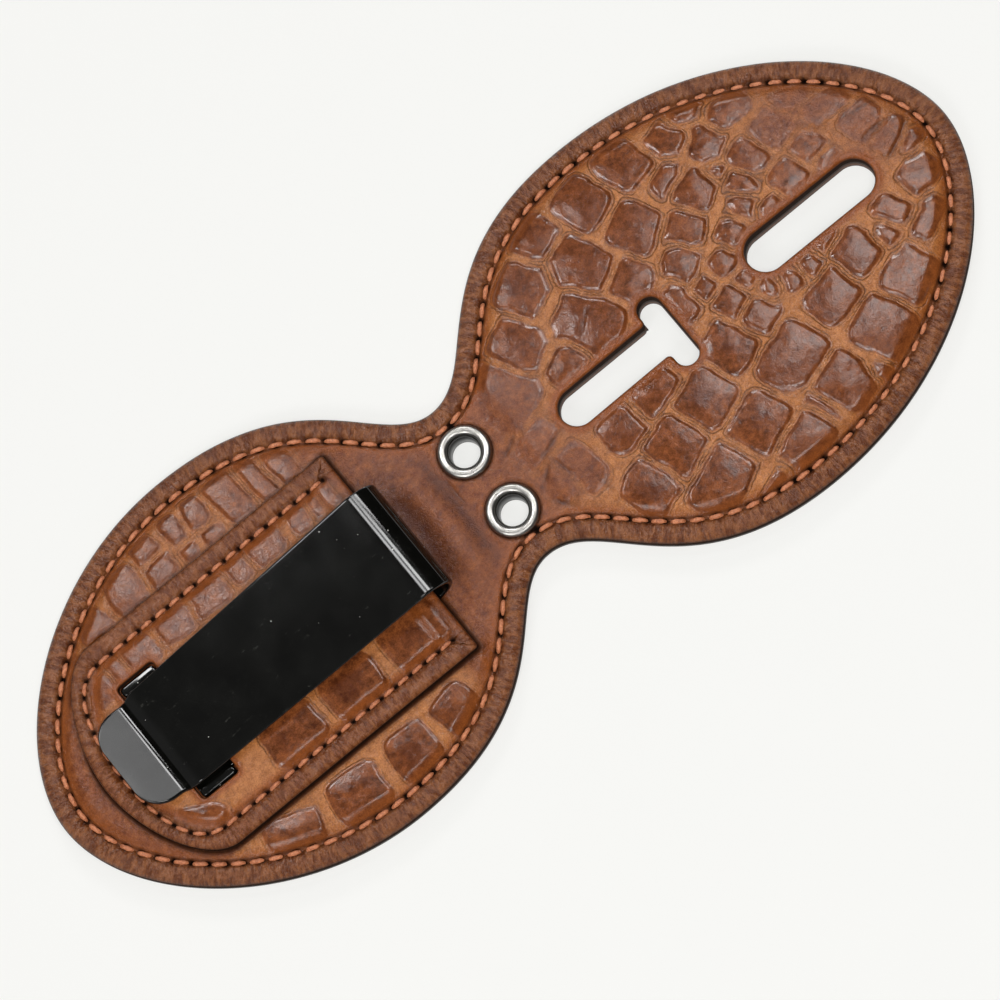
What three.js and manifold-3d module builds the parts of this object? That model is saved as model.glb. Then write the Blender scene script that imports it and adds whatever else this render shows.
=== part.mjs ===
// Fold-over leather badge holder with a sprung belt clip, opened out flat, outer side up.
// Millimetres, +Z up. x runs along the holder from the clip leaf to the badge leaf and starts at the
// line through the two eyelets; the group then moves the whole holder so that x = 0 is its middle.
import * as THREE from 'three';
import { mergeVertices } from 'three/addons/utils/BufferGeometryUtils.js';
import Module from 'manifold-3d';

const wasm = await Module();
wasm.setup();

// Leaf outlines: each leaf is a round tip, a widest place and a shoulder that runs into the waist.
const BADGE_LEAF = {
  tipX: 99.7, tipHandle: 16.1, widestX: 45.1, halfWidth: 37.7,
  sideHandle: 31.4, shoulderHandle: 31.5, waistHandle: 11.6,
};
const CLIP_LEAF = {
  tipX: -92.9, tipHandle: 16.8, widestX: -44.2, halfWidth: 37.0,
  sideHandle: 25.9, shoulderHandle: 31.6, waistHandle: 10.7,
};
const WAIST_HALF_WIDTH = 15.9;
const OUTLINE_STEPS = 120;

// Layers, from the resting face up.
const PAD_THICKNESS = 1.0;
const PAD_SELVAGE = 0.4;
const LINING_THICKNESS = 1.4;
const BOARD_THICKNESS = 1.0;
const OUTER_THICKNESS = 1.8;
const LINING_Z = PAD_THICKNESS;
const OUTER_Z = LINING_Z + LINING_THICKNESS;
const BORDER_TOP = OUTER_Z + OUTER_THICKNESS;
const LEAF_TOP = BORDER_TOP + BOARD_THICKNESS;
const EDGE_ROUNDING = 0.6;

// Fold: the undersides swing together about a line just below the resting face.
const FOLD_X = -8.5;
const FOLD_SPLIT = 0.3;

// Stiffener boards, inside the stitching.
const BOARD_INSET = 6.0;
const RAISE_FOOT_INSET = 4.7;
const RAISE_TOP_INSET = 6.6;
const BADGE_BOARD_START = 9.0;
const CLIP_BOARD_START = -17.5;

// Pin slots of the badge leaf.
const PLAIN_SLOT = { start: 57.4, end: 83.9, width: 7.3 };
const T_SLOT = { start: 16.3, end: 41.8, width: 6.6, headStart: 37.4, headWidth: 14.2 };

// Eyelets with their washers.
const EYELET_Y = 6.6;
const EYELET = {
  bore: 2.4, barrel: 2.75, throat: 2.6, crestInner: 3.3, crestOuter: 4.2, flange: 4.75,
  flangeHeight: 0.8, rimHeight: 0.25, crestFall: 0.1, throatFall: 0.35,
  lip: 3.3, lipZ: 0.35, lipThickness: 0.25,
};
const WASHER = { inner: 3.05, outer: 4.6, z: 0.65, thickness: 0.3 };
const ROUND_STEPS = 32;

// Thread runs.
const STITCH_INSET = 3.8;
const THREAD_WIDTH = 0.8;
const THREAD_HEIGHT = 0.4;

// Pocket patch on the clip leaf.
const PATCH = { mouthX: -19.0, halfWidth: 21.6, bendX: -70.5, endX: -83.2, sideHandle: 7.0, endHandle: 9.0 };
const PATCH_THICKNESS = 1.8;
const PATCH_STITCH_INSET = 3.6;
const PATCH_STITCH_START = -21.7;
const PATCH_STEPS = 14;
const PATCH_TOP = LEAF_TOP + PATCH_THICKNESS;
const PLATE_RAISE = { footHalf: 13.4, topHalf: 11.6 };

// Belt clip, one bent strip of spring steel.
const STEEL = 1.0;
const BEND_RADIUS = 4.0;
const BEND_X = -19.9;
const BEND_Z = LEAF_TOP + STEEL / 2 + BEND_RADIUS;
const ARM_SLOPE = THREE.MathUtils.degToRad(5.8);
const ARM_HALF_AT_BEND = 10.9;
const ARM_HALF_AT_NOSE = 10.0;
const ARM_END = { x: -69.5, z: 8.66 };
const NOSE = { x: -71.35, z: 7.7 };
const ROLL = { x: -72.6, z: 8.4 };
const LIP = { x: -79.3, z: 9.85, halfWidth: 9.3, cornerRadius: 5.0 };
const PLATE_HALF = 10.5;
const EARS = { start: -70.8, end: -63.7, half: 12.0, height: 2.1 };
const CLEARANCE = 0.3;

// Hook and loop pads on the lining, which meet when the holder is folded.
const HOOK_PAD = { x: 49.7, length: 11.4, width: 44.0 };
const LOOP_PAD = { x: 2 * FOLD_X - 49.7, length: 14.0, width: 46.0 };
const PAD_SELVAGE_WIDTH = 1.8;
const PAD_STITCH_INSET = 0.9;

const CUTTER = 400;

const MATERIALS = {
  outer: new THREE.MeshStandardMaterial({ color: 0x8a4f2b, roughness: 0.42 }),
  lining: new THREE.MeshStandardMaterial({ color: 0x6b3d22, roughness: 0.75 }),
  board: new THREE.MeshStandardMaterial({ color: 0x8d7455, roughness: 0.9 }),
  thread: new THREE.MeshStandardMaterial({ color: 0xc47a4c, roughness: 0.6 }),
  nickel: new THREE.MeshStandardMaterial({ color: 0xc9c8c4, roughness: 0.22, metalness: 1.0 }),
  steel: new THREE.MeshStandardMaterial({ color: 0x1b1b19, roughness: 0.2, metalness: 0.6 }),
  tape: new THREE.MeshStandardMaterial({ color: 0x1c1714, roughness: 0.95 }),
};

// ---- Solids from rings -------------------------------------------------------------------------

// Joins rings of equal length, each a list of 3-D points, into one closed body with flat end caps.
function closedBody(rings, capTriangles) {
  const count = rings[0].length;
  const positions = rings.flat().flatMap((point) => [point.x, point.y, point.z]);
  const triangles = [];
  for (let ring = 0; ring + 1 < rings.length; ring += 1) {
    for (let i = 0; i < count; i += 1) {
      const next = (i + 1) % count;
      const low = ring * count;
      const high = low + count;
      triangles.push(low + i, low + next, high + next, low + i, high + next, high + i);
    }
  }
  const last = (rings.length - 1) * count;
  for (const [a, b, c] of capTriangles) {
    triangles.push(a, c, b, last + a, last + b, last + c);
  }
  const geometry = new THREE.BufferGeometry();
  geometry.setAttribute('position', new THREE.Float32BufferAttribute(positions, 3));
  geometry.setIndex(triangles);
  return geometry;
}

// Stacks flat loops: each level is { points, z }, and all loops have the same number of points.
function stack(levels) {
  const rings = levels.map(({ points, z }) => points.map((p) => new THREE.Vector3(p.x, p.y, z)));
  return closedBody(rings, THREE.ShapeUtils.triangulateShape(levels[0].points, []));
}

function plate(points, bottom, top) {
  return stack([{ points, z: bottom }, { points, z: top }]);
}

function box(x0, x1, y0, y1, z0, z1) {
  const geometry = new THREE.BoxGeometry(x1 - x0, y1 - y0, z1 - z0);
  return geometry.translate((x0 + x1) / 2, (y0 + y1) / 2, (z0 + z1) / 2);
}

// A flat band with a square section along a path in the XY plane.
function band(path, width, bottom, top) {
  const sections = path.map((point, i) => {
    const before = path[Math.max(i - 1, 0)];
    const after = path[Math.min(i + 1, path.length - 1)];
    const side = new THREE.Vector2(before.y - after.y, after.x - before.x).setLength(width / 2);
    const left = point.clone().add(side);
    const right = point.clone().sub(side);
    return [
      new THREE.Vector3(right.x, right.y, bottom),
      new THREE.Vector3(left.x, left.y, bottom),
      new THREE.Vector3(left.x, left.y, top),
      new THREE.Vector3(right.x, right.y, top),
    ];
  });
  return closedBody(sections, [[0, 1, 2], [0, 2, 3]]);
}

// A bent strip across Y: stations are { x, z, half }, from one end of the strip to the other.
function bentStrip(stations, thickness) {
  const sections = stations.map((station, i) => {
    const before = stations[Math.max(i - 1, 0)];
    const after = stations[Math.min(i + 1, stations.length - 1)];
    const normal = new THREE.Vector2(before.z - after.z, after.x - before.x).setLength(thickness / 2);
    const corner = (face, y) => new THREE.Vector3(
      station.x + face * normal.x, y, station.z + face * normal.y);
    return [
      corner(1, station.half), corner(1, -station.half),
      corner(-1, -station.half), corner(-1, station.half),
    ];
  });
  return closedBody(sections, [[0, 1, 2], [0, 2, 3]]);
}

// ---- Booleans ----------------------------------------------------------------------------------

function solid(geometry) {
  const bare = geometry.clone();
  bare.deleteAttribute('normal');
  bare.deleteAttribute('uv');
  const merged = mergeVertices(bare, 1e-4);
  return new wasm.Manifold(new wasm.Mesh({
    numProp: 3,
    vertProperties: new Float32Array(merged.attributes.position.array),
    triVerts: new Uint32Array(merged.index.array),
  }));
}

function cut(body, ...cutters) {
  return cutters.reduce((rest, cutter) => rest.subtract(solid(cutter)), body);
}

function join(first, ...others) {
  return others.reduce((sum, other) => sum.add(solid(other)), solid(first));
}

function named(name, material, body) {
  let geometry = body;
  if (!body.isBufferGeometry) {
    const mesh = body.getMesh();
    geometry = new THREE.BufferGeometry();
    geometry.setAttribute('position', new THREE.BufferAttribute(mesh.vertProperties, 3));
    geometry.setIndex(new THREE.BufferAttribute(mesh.triVerts, 1));
  }
  geometry.computeVertexNormals();
  const piece = new THREE.Mesh(geometry, material.clone());
  piece.name = name;
  return piece;
}

// Everything on the badge side of a line across the holder, or on its clip side.
const beyond = (x) => box(x, CUTTER, -CUTTER, CUTTER, -CUTTER, CUTTER);
const before = (x) => box(-CUTTER, x, -CUTTER, CUTTER, -CUTTER, CUTTER);
const badgeSide = (body) => body.intersect(solid(beyond(FOLD_X + FOLD_SPLIT / 2)));
const clipSide = (body) => body.intersect(solid(before(FOLD_X - FOLD_SPLIT / 2)));

// ---- Outlines ----------------------------------------------------------------------------------

// From the tip of a leaf to the waist, along one side.
function tipToWaist(shape, leaf, side) {
  const out = Math.sign(leaf.tipX);
  const y = side * leaf.halfWidth;
  const waistY = side * WAIST_HALF_WIDTH;
  const sideX = leaf.widestX + out * leaf.sideHandle;
  const shoulderX = leaf.widestX - out * leaf.shoulderHandle;
  shape.bezierCurveTo(leaf.tipX, side * leaf.tipHandle, sideX, y, leaf.widestX, y);
  shape.bezierCurveTo(shoulderX, y, out * leaf.waistHandle, waistY, 0, waistY);
}

function waistToTip(shape, leaf, side) {
  const out = Math.sign(leaf.tipX);
  const y = side * leaf.halfWidth;
  const waistY = side * WAIST_HALF_WIDTH;
  const sideX = leaf.widestX + out * leaf.sideHandle;
  const shoulderX = leaf.widestX - out * leaf.shoulderHandle;
  shape.bezierCurveTo(out * leaf.waistHandle, waistY, shoulderX, y, leaf.widestX, y);
  shape.bezierCurveTo(sideX, y, leaf.tipX, side * leaf.tipHandle, leaf.tipX, 0);
}

function holderOutline() {
  const shape = new THREE.Shape();
  shape.moveTo(BADGE_LEAF.tipX, 0);
  tipToWaist(shape, BADGE_LEAF, 1);
  waistToTip(shape, CLIP_LEAF, 1);
  tipToWaist(shape, CLIP_LEAF, -1);
  waistToTip(shape, BADGE_LEAF, -1);
  return shape.getSpacedPoints(OUTLINE_STEPS).slice(0, -1);
}

// Moves every point of a counter-clockwise loop inwards.
function inset(points, distance) {
  return points.map((point, i) => {
    const last = points[(i + points.length - 1) % points.length];
    const next = points[(i + 1) % points.length];
    const inward = new THREE.Vector2(last.y - next.y, next.x - last.x).setLength(distance);
    return point.clone().add(inward);
  });
}

function rounded(x0, x1, y0, y1, radius, steps) {
  const shape = new THREE.Shape();
  shape.absarc(x1 - radius, y0 + radius, radius, -Math.PI / 2, 0);
  shape.absarc(x1 - radius, y1 - radius, radius, 0, Math.PI / 2);
  shape.absarc(x0 + radius, y1 - radius, radius, Math.PI / 2, Math.PI);
  shape.absarc(x0 + radius, y0 + radius, radius, Math.PI, Math.PI * 1.5);
  return dropRepeats(shape.getPoints(steps));
}

function dropRepeats(points) {
  return points.filter((point, i) => point.distanceTo(points[(i + 1) % points.length]) > 1e-3);
}

function plainSlot() {
  const half = PLAIN_SLOT.width / 2;
  return plate(rounded(PLAIN_SLOT.start, PLAIN_SLOT.end, -half, half, half * 0.999, 8), 0, LEAF_TOP + 1);
}

function tSlot() {
  const half = T_SLOT.width / 2;
  const headHalf = T_SLOT.headWidth / 2;
  const headRadius = (T_SLOT.end - T_SLOT.headStart) / 2;
  const stem = rounded(T_SLOT.start, T_SLOT.end - headRadius, -half, half, half * 0.999, 8);
  const head = rounded(T_SLOT.headStart, T_SLOT.end, -headHalf, headHalf, headRadius * 0.999, 6);
  return [plate(stem, 0, LEAF_TOP + 1), plate(head, 0, LEAF_TOP + 1)];
}

function roundHole(radius, side) {
  const geometry = new THREE.CylinderGeometry(radius, radius, CUTTER, ROUND_STEPS);
  return geometry.rotateX(Math.PI / 2).translate(0, side * EYELET_Y, 0);
}

// ---- Leather, lining and boards ----------------------------------------------------------------

const outline = holderOutline();
const slots = [plainSlot(), ...tSlot()];
const eyeletHoles = [roundHole(WASHER.inner, 1), roundHole(WASHER.inner, -1)];

// One board under each leaf, cut off square before the neck.
function board(allowance, limits) {
  const whole = plate(inset(outline, BOARD_INSET - allowance), OUTER_Z, OUTER_Z + BOARD_THICKNESS);
  return solid(whole).intersect(solid(limits));
}

function outerLeather() {
  const border = stack([
    { points: outline, z: OUTER_Z },
    { points: outline, z: BORDER_TOP - EDGE_ROUNDING },
    { points: inset(outline, EDGE_ROUNDING), z: BORDER_TOP },
  ]);
  const raised = solid(stack([
    { points: inset(outline, RAISE_FOOT_INSET), z: BORDER_TOP - EDGE_ROUNDING },
    { points: inset(outline, RAISE_FOOT_INSET), z: BORDER_TOP },
    { points: inset(outline, RAISE_TOP_INSET), z: LEAF_TOP },
  ]));
  const badgeRaise = raised.intersect(solid(beyond(BADGE_BOARD_START - 1)));
  const clipRaise = raised.intersect(solid(before(CLIP_BOARD_START + 1)));
  const whole = solid(border).add(badgeRaise).add(clipRaise)
    .subtract(board(0, beyond(BADGE_BOARD_START)))
    .subtract(board(0, before(CLIP_BOARD_START)));
  return cut(whole, ...slots, ...eyeletHoles);
}

function liningLeather() {
  return cut(solid(plate(outline, LINING_Z, OUTER_Z)), ...slots, ...eyeletHoles);
}

function edgeThread() {
  const inner = inset(outline, STITCH_INSET + THREAD_WIDTH / 2);
  const outer = inset(outline, STITCH_INSET - THREAD_WIDTH / 2);
  return cut(
    solid(plate(outer, BORDER_TOP, BORDER_TOP + THREAD_HEIGHT)),
    plate(inner, BORDER_TOP - 1, BORDER_TOP + 1),
  );
}

function leatherPieces() {
  const outer = outerLeather();
  const lining = liningLeather();
  const thread = edgeThread();
  return [
    named('outer_leather_badge', MATERIALS.outer, badgeSide(outer)),
    named('outer_leather_clip', MATERIALS.outer, clipSide(outer)),
    named('lining_badge', MATERIALS.lining, badgeSide(lining)),
    named('lining_clip', MATERIALS.lining, clipSide(lining)),
    named('edge_thread_badge', MATERIALS.thread, badgeSide(thread)),
    named('edge_thread_clip', MATERIALS.thread, clipSide(thread)),
    named('stiffener_badge', MATERIALS.board,
      cut(board(-CLEARANCE, beyond(BADGE_BOARD_START + CLEARANCE)), ...slots)),
    named('stiffener_clip', MATERIALS.board, board(-CLEARANCE, before(CLIP_BOARD_START - CLEARANCE))),
  ];
}

// ---- Eyelets -----------------------------------------------------------------------------------

function lathe(profile) {
  const points = [...profile, profile[0]].map(([radius, z]) => new THREE.Vector2(radius, z));
  return new THREE.LatheGeometry(points, ROUND_STEPS).rotateX(Math.PI / 2);
}

function eyeletPieces() {
  const seat = BORDER_TOP + 0.05;
  const crest = seat + EYELET.flangeHeight;
  const lipTop = EYELET.lipZ + EYELET.lipThickness;
  const eyelet = lathe([
    [EYELET.bore, EYELET.lipZ], [EYELET.lip, EYELET.lipZ], [EYELET.lip, lipTop], [EYELET.barrel, lipTop],
    [EYELET.barrel, seat], [EYELET.flange, seat], [EYELET.flange, seat + EYELET.rimHeight],
    [EYELET.crestOuter, crest - EYELET.crestFall], [EYELET.crestInner, crest],
    [EYELET.throat, crest - EYELET.throatFall], [EYELET.bore, seat],
  ]);
  const washer = lathe([
    [WASHER.inner, WASHER.z], [WASHER.outer, WASHER.z],
    [WASHER.outer, WASHER.z + WASHER.thickness], [WASHER.inner, WASHER.z + WASHER.thickness],
  ]);
  const pieces = [];
  for (const [end, side] of [['left', 1], ['right', -1]]) {
    for (const [name, shape] of [['eyelet', eyelet], ['eyelet_washer', washer]]) {
      const piece = named(`${name}_${end}`, MATERIALS.nickel, solid(shape));
      piece.position.y = side * EYELET_Y;
      pieces.push(piece);
    }
  }
  return pieces;
}

// ---- Pocket patch ------------------------------------------------------------------------------

// One side of the patch and half of its round end, from the mouth, moved inwards by a distance.
function patchSide(distance, start) {
  const half = PATCH.halfWidth - distance;
  const end = PATCH.endX + distance;
  const side = new THREE.Path();
  side.moveTo(start, half);
  side.lineTo(PATCH.bendX, half);
  side.bezierCurveTo(
    PATCH.bendX - PATCH.sideHandle, half, end, PATCH.endHandle, end, 0);
  return side.getPoints(PATCH_STEPS);
}

function patchPath(distance, start) {
  const side = patchSide(distance, start);
  const mirrored = side.slice(0, -1).reverse().map((point) => new THREE.Vector2(point.x, -point.y));
  return [...side, ...mirrored];
}

function patchPieces() {
  const loop = (distance) => patchPath(distance, PATCH.mouthX - distance);
  const leather = stack([
    { points: loop(0), z: LEAF_TOP },
    { points: loop(0), z: PATCH_TOP - EDGE_ROUNDING },
    { points: loop(EDGE_ROUNDING), z: PATCH_TOP },
  ]);
  const mouth = PATCH.mouthX - EDGE_ROUNDING;
  const raise = (half) => [
    new THREE.Vector2(EARS.start, -half), new THREE.Vector2(mouth, -half),
    new THREE.Vector2(mouth, half), new THREE.Vector2(EARS.start, half),
  ];
  const overPlate = stack([
    { points: raise(PLATE_RAISE.footHalf), z: PATCH_TOP - EDGE_ROUNDING },
    { points: raise(PLATE_RAISE.footHalf), z: PATCH_TOP },
    { points: raise(PLATE_RAISE.topHalf), z: PATCH_TOP + STEEL },
  ]);
  const earHalf = EARS.half + CLEARANCE;
  const plateHalf = PLATE_HALF + CLEARANCE;
  const patch = cut(
    join(leather, overPlate),
    box(EARS.start - CLEARANCE, 0, -plateHalf, plateHalf, LEAF_TOP - 1, LEAF_TOP + STEEL + CLEARANCE),
    box(EARS.start - CLEARANCE, EARS.end + CLEARANCE, -earHalf, earHalf, LEAF_TOP - 1, CUTTER),
  );
  const run = patchPath(PATCH_STITCH_INSET, PATCH_STITCH_START);
  return [
    named('pocket_patch', MATERIALS.outer, patch),
    named('patch_thread', MATERIALS.thread, band(run, THREAD_WIDTH, PATCH_TOP, PATCH_TOP + THREAD_HEIGHT)),
  ];
}

// ---- Belt clip ---------------------------------------------------------------------------------

// Stations round part of the U-bend; 0 is the outermost place and 90 degrees is its top.
function bendStations(from, to, half) {
  const steps = 10;
  return Array.from({ length: steps + 1 }, (_, i) => {
    const angle = THREE.MathUtils.lerp(from, to, i / steps);
    return { x: BEND_X + BEND_RADIUS * Math.cos(angle), z: BEND_Z + BEND_RADIUS * Math.sin(angle), half };
  });
}

function clipBase() {
  const splitAngle = -CLEARANCE / 2 / BEND_RADIUS;
  const stations = [
    { x: EARS.end - 1, z: BEND_Z - BEND_RADIUS, half: PLATE_HALF },
    ...bendStations(-Math.PI / 2, splitAngle, PLATE_HALF),
  ];
  const ears = box(EARS.start, EARS.end, -EARS.half, EARS.half, LEAF_TOP, LEAF_TOP + EARS.height);
  return join(bentStrip(stations, STEEL), ears);
}

function lipStations() {
  const steps = 8;
  const length = Math.hypot(LIP.x - ROLL.x, LIP.z - ROLL.z);
  return Array.from({ length: steps + 1 }, (_, i) => {
    const turn = (i / steps) * (Math.PI / 2);
    const along = 1 - (LIP.cornerRadius * (1 - Math.sin(turn))) / length;
    return {
      x: THREE.MathUtils.lerp(ROLL.x, LIP.x, along),
      z: THREE.MathUtils.lerp(ROLL.z, LIP.z, along),
      half: LIP.halfWidth - LIP.cornerRadius * (1 - Math.cos(turn)),
    };
  });
}

function clipArm() {
  const splitAngle = CLEARANCE / 2 / BEND_RADIUS;
  const stations = [
    ...bendStations(splitAngle, Math.PI / 2 + ARM_SLOPE, ARM_HALF_AT_BEND),
    { ...ARM_END, half: ARM_HALF_AT_NOSE },
    { ...NOSE, half: LIP.halfWidth },
    { ...ROLL, half: LIP.halfWidth },
    ...lipStations(),
  ];
  return bentStrip(stations, STEEL);
}

function clipPieces() {
  return [
    named('clip_base', MATERIALS.steel, clipBase()),
    named('clip_arm', MATERIALS.steel, clipArm()),
  ];
}

// ---- Hook and loop pads ------------------------------------------------------------------------

function padPieces(name, pad) {
  const rectangle = (distance) => {
    const halfLength = pad.length / 2 - distance;
    const halfWidth = pad.width / 2 - distance;
    return rounded(pad.x - halfLength, pad.x + halfLength, -halfWidth, halfWidth, 1, 2);
  };
  const selvageZ = PAD_THICKNESS - PAD_SELVAGE;
  const tape = stack([
    { points: rectangle(PAD_SELVAGE_WIDTH), z: 0 },
    { points: rectangle(PAD_SELVAGE_WIDTH), z: selvageZ },
    { points: rectangle(0), z: selvageZ },
    { points: rectangle(0), z: PAD_THICKNESS },
  ]);
  const thread = cut(
    solid(plate(rectangle(PAD_STITCH_INSET - THREAD_WIDTH / 2), selvageZ - THREAD_HEIGHT, selvageZ)),
    plate(rectangle(PAD_STITCH_INSET + THREAD_WIDTH / 2), selvageZ - 1, selvageZ + 1),
  );
  return [named(name, MATERIALS.tape, tape), named(`${name}_thread`, MATERIALS.thread, thread)];
}

// ---- Assembly ----------------------------------------------------------------------------------

const holder = new THREE.Group();
holder.position.x = -(BADGE_LEAF.tipX + CLIP_LEAF.tipX) / 2;
holder.add(
  ...leatherPieces(),
  ...eyeletPieces(),
  ...patchPieces(),
  ...clipPieces(),
  ...padPieces('hook_pad', HOOK_PAD),
  ...padPieces('loop_pad', LOOP_PAD),
);

export default holder;
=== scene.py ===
"""Looks of the fold-over leather badge holder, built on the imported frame.

Layout sizes are millimetres, with x along the holder from the line through the two eyelets, y across
it and z up from the face it lies on. place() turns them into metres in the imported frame.
"""
import math

import bpy
import numpy as np
from mathutils import Matrix, Vector
from mathutils.geometry import delaunay_2d_cdt
from mathutils.kdtree import KDTree


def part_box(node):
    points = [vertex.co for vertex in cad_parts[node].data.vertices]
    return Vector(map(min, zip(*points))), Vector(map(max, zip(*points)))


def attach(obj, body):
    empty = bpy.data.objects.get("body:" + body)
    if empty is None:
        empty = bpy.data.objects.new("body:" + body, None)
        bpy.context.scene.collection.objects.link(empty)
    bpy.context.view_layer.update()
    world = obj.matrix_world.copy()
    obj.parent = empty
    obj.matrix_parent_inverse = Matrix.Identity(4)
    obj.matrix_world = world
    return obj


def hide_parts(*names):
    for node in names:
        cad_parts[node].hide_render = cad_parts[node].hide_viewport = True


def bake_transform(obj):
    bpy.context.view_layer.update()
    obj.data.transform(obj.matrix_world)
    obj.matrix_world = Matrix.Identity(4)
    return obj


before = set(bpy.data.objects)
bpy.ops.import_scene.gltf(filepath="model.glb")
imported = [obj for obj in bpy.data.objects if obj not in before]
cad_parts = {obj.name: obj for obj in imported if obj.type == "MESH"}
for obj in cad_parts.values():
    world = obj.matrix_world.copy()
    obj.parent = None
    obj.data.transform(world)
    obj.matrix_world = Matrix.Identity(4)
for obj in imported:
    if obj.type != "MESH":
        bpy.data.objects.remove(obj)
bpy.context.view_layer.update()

# ---- Sizes taken from the frame -------------------------------------------------------------------

MM = 0.001
EYELET_LOW, EYELET_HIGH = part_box("eyelet_left")
EYELET_X = (EYELET_LOW[0] + EYELET_HIGH[0]) / 2


def place(points):
    """Layout millimetres to metres in the frame."""
    moved = np.array(points, float) * MM
    moved[..., 0] += EYELET_X
    return moved


def node_box(node):
    """Lowest and highest corner of a CAD node, in layout millimetres."""
    shift = np.array([EYELET_X, 0.0, 0.0])
    low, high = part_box(node)
    return (np.array(low) - shift) / MM, (np.array(high) - shift) / MM


BADGE_LOW, BADGE_HIGH = node_box("outer_leather_badge")
CLIP_LOW, CLIP_HIGH = node_box("outer_leather_clip")
PATCH_LOW, PATCH_HIGH = node_box("pocket_patch")
BOARD_LOW, BOARD_HIGH = node_box("stiffener_badge")
CLIP_BOARD_END = node_box("stiffener_clip")[1][0]
EYELET_Y = (EYELET_LOW[1] + EYELET_HIGH[1]) / 2 / MM
FLANGE_RADIUS = (EYELET_HIGH[0] - EYELET_LOW[0]) / 2 / MM

OUTER_BOTTOM = BADGE_LOW[2]
LEAF_TOP = BADGE_HIGH[2]
BORDER_TOP = node_box("edge_thread_badge")[0][2]
LINING_BOTTOM = node_box("lining_badge")[0][2]
FOLD_X = (CLIP_HIGH[0] + BADGE_LOW[0]) / 2

# ---- Layout ---------------------------------------------------------------------------------------

# Outline of each leaf, as Bezier handles along it; the tips and widths come from the frame. The
# middle of each leaf swells a little, between its tip and the start of the swell.
BADGE = {"tip": BADGE_HIGH[0], "half": BADGE_HIGH[1], "widest": 45.1, "tip_handle": 16.1,
         "side_handle": 31.4, "shoulder_handle": 31.5, "waist_handle": 11.6,
         "swell": 1.5, "swell_start": 6.0}
CLIP = {"tip": CLIP_LOW[0], "half": CLIP_HIGH[1], "widest": -44.2, "tip_handle": 16.8,
        "side_handle": 25.9, "shoulder_handle": 31.6, "waist_handle": 10.7,
        "swell": 0.35, "swell_start": -16.0}
WAIST = 15.9

# Spacing of mesh points, and how far in from an edge the finer rings lie.
EDGE_SPACING = 0.4
FIELD_SPACING = 0.37
PATCH_SPACING = 0.36
UNDERSIDE_SPACING = 1.6
EDGE_ROLL = 1.1
EDGE_RINGS = (0.04, 0.16, 0.36, 0.66, 1.0, 1.35, 1.7, 2.05, 2.4, 2.7, 2.95, 3.2, 3.4, 3.6, 3.8, 4.0,
              4.2, 4.45, 4.75, 5.05, 5.4, 5.75)
HOLE_RINGS = (0.04, 0.15, 0.33, 0.6)
PATCH_RINGS = (0.04, 0.15, 0.33, 0.6, 0.95, 1.3)

# Pin slots, with ends a hair short of half circles, and the eyelets' radii.
FULL_ROUND = 0.999
HEAD_ROUND = 0.97
PLAIN_SLOT = {"start": 57.4, "end": 83.9, "width": 7.3}
T_SLOT = {"start": 16.3, "end": 41.8, "width": 6.6, "head_start": 37.4, "head_width": 14.2}
T_CORNER = 0.9
EYELET_HOLE = 3.05
EYELET = {"bore": 2.55, "barrel": 2.75, "crest": 3.9, "curl": 0.82, "curl_height": 0.45, "flare": 3.3}

# Stitching.
EDGE_STITCH = {"length": 3.0, "pitch": 3.25, "thickness": 0.42}
PATCH_STITCH = {"length": 2.6, "pitch": 3.1, "thickness": 0.35}
PAD_STITCH = {"length": 2.1, "pitch": 2.5, "thickness": 0.22}
STITCH_INSET = 3.8
STITCH_SLANT = 0.07
STITCH_DIVE = 0.9
STITCH_TWIST = 3.6
PATCH_STITCH_INSET = 3.6
PATCH_STITCH_START = -21.7

# Pocket patch.
PATCH_BEND = -70.5
PATCH_SIDE_HANDLE = 7.0
PATCH_END_HANDLE = 9.0
PATCH_CORNER = 0.6
PATCH_PADDING = 0.6
PLATE_TOP_HALF = 11.2
PLATE_FOOT_HALF = 16.6
EAR_WINDOW = {"start": -71.1, "end": -63.4, "half": 12.3, "corner": 0.7}

# Belt clip.
STEEL = 1.0
BEND_RADIUS = 4.0
BEND_X = -19.9
BEND_Z = LEAF_TOP + STEEL / 2 + BEND_RADIUS
BEND_CREST_REACH = 4.9
ARM_SLOPE = math.radians(5.8)
ARM_END = (-69.5, 8.8)
NOSE = (-71.35, 7.7)
ROLL = (-72.6, 8.4)
LIP_END = (-79.3, 9.82)
LIP_CORNER = 5.0
ARM_HALF = 10.9
ARM_HALF_AT_NOSE = 10.0
LIP_HALF = 9.3
PLATE_HALF = 10.5
EARS = {"start": -70.8, "end": -63.7, "half": 12.0, "height": 2.1, "corner": 0.7, "rounding": 0.4}

# Relief of the leather. Pairs are the distances from an edge between which something sets in.
BOARD_STEP = (4.3, 6.6)
SCALES_FROM_EDGE = (4.3, 5.3)
SCALES_FROM_SLOT = (0.7, 1.7)
PATCH_SCALES_FROM_EDGE = (4.1, 5.0)
BORDER_BULGE = 0.32
BORDER_PUCKER = 0.04
GROOVE_DEPTH = 0.4
NEEDLE_DEPTH = 0.35
CREASE_DEPTH = 0.16
CREASE_WIDTH = 0.3
SEAT_WIDTH = 1.6
PATCH_CLEARANCE = 0.4

# The ridge that folding has left across the neck and the troughs beside it, and the painted shade in those
# troughs: x, strength and width of each.
NECK_WAVES = ((-10.2, 0.85, 2.7), (-6.2, -0.3, 1.8), (-14.6, -0.3, 1.8))
NECK_PAINTED_SHADES = ((-14.2, 1.0, 2.2), (-6.8, 0.85, 1.3))

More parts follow.
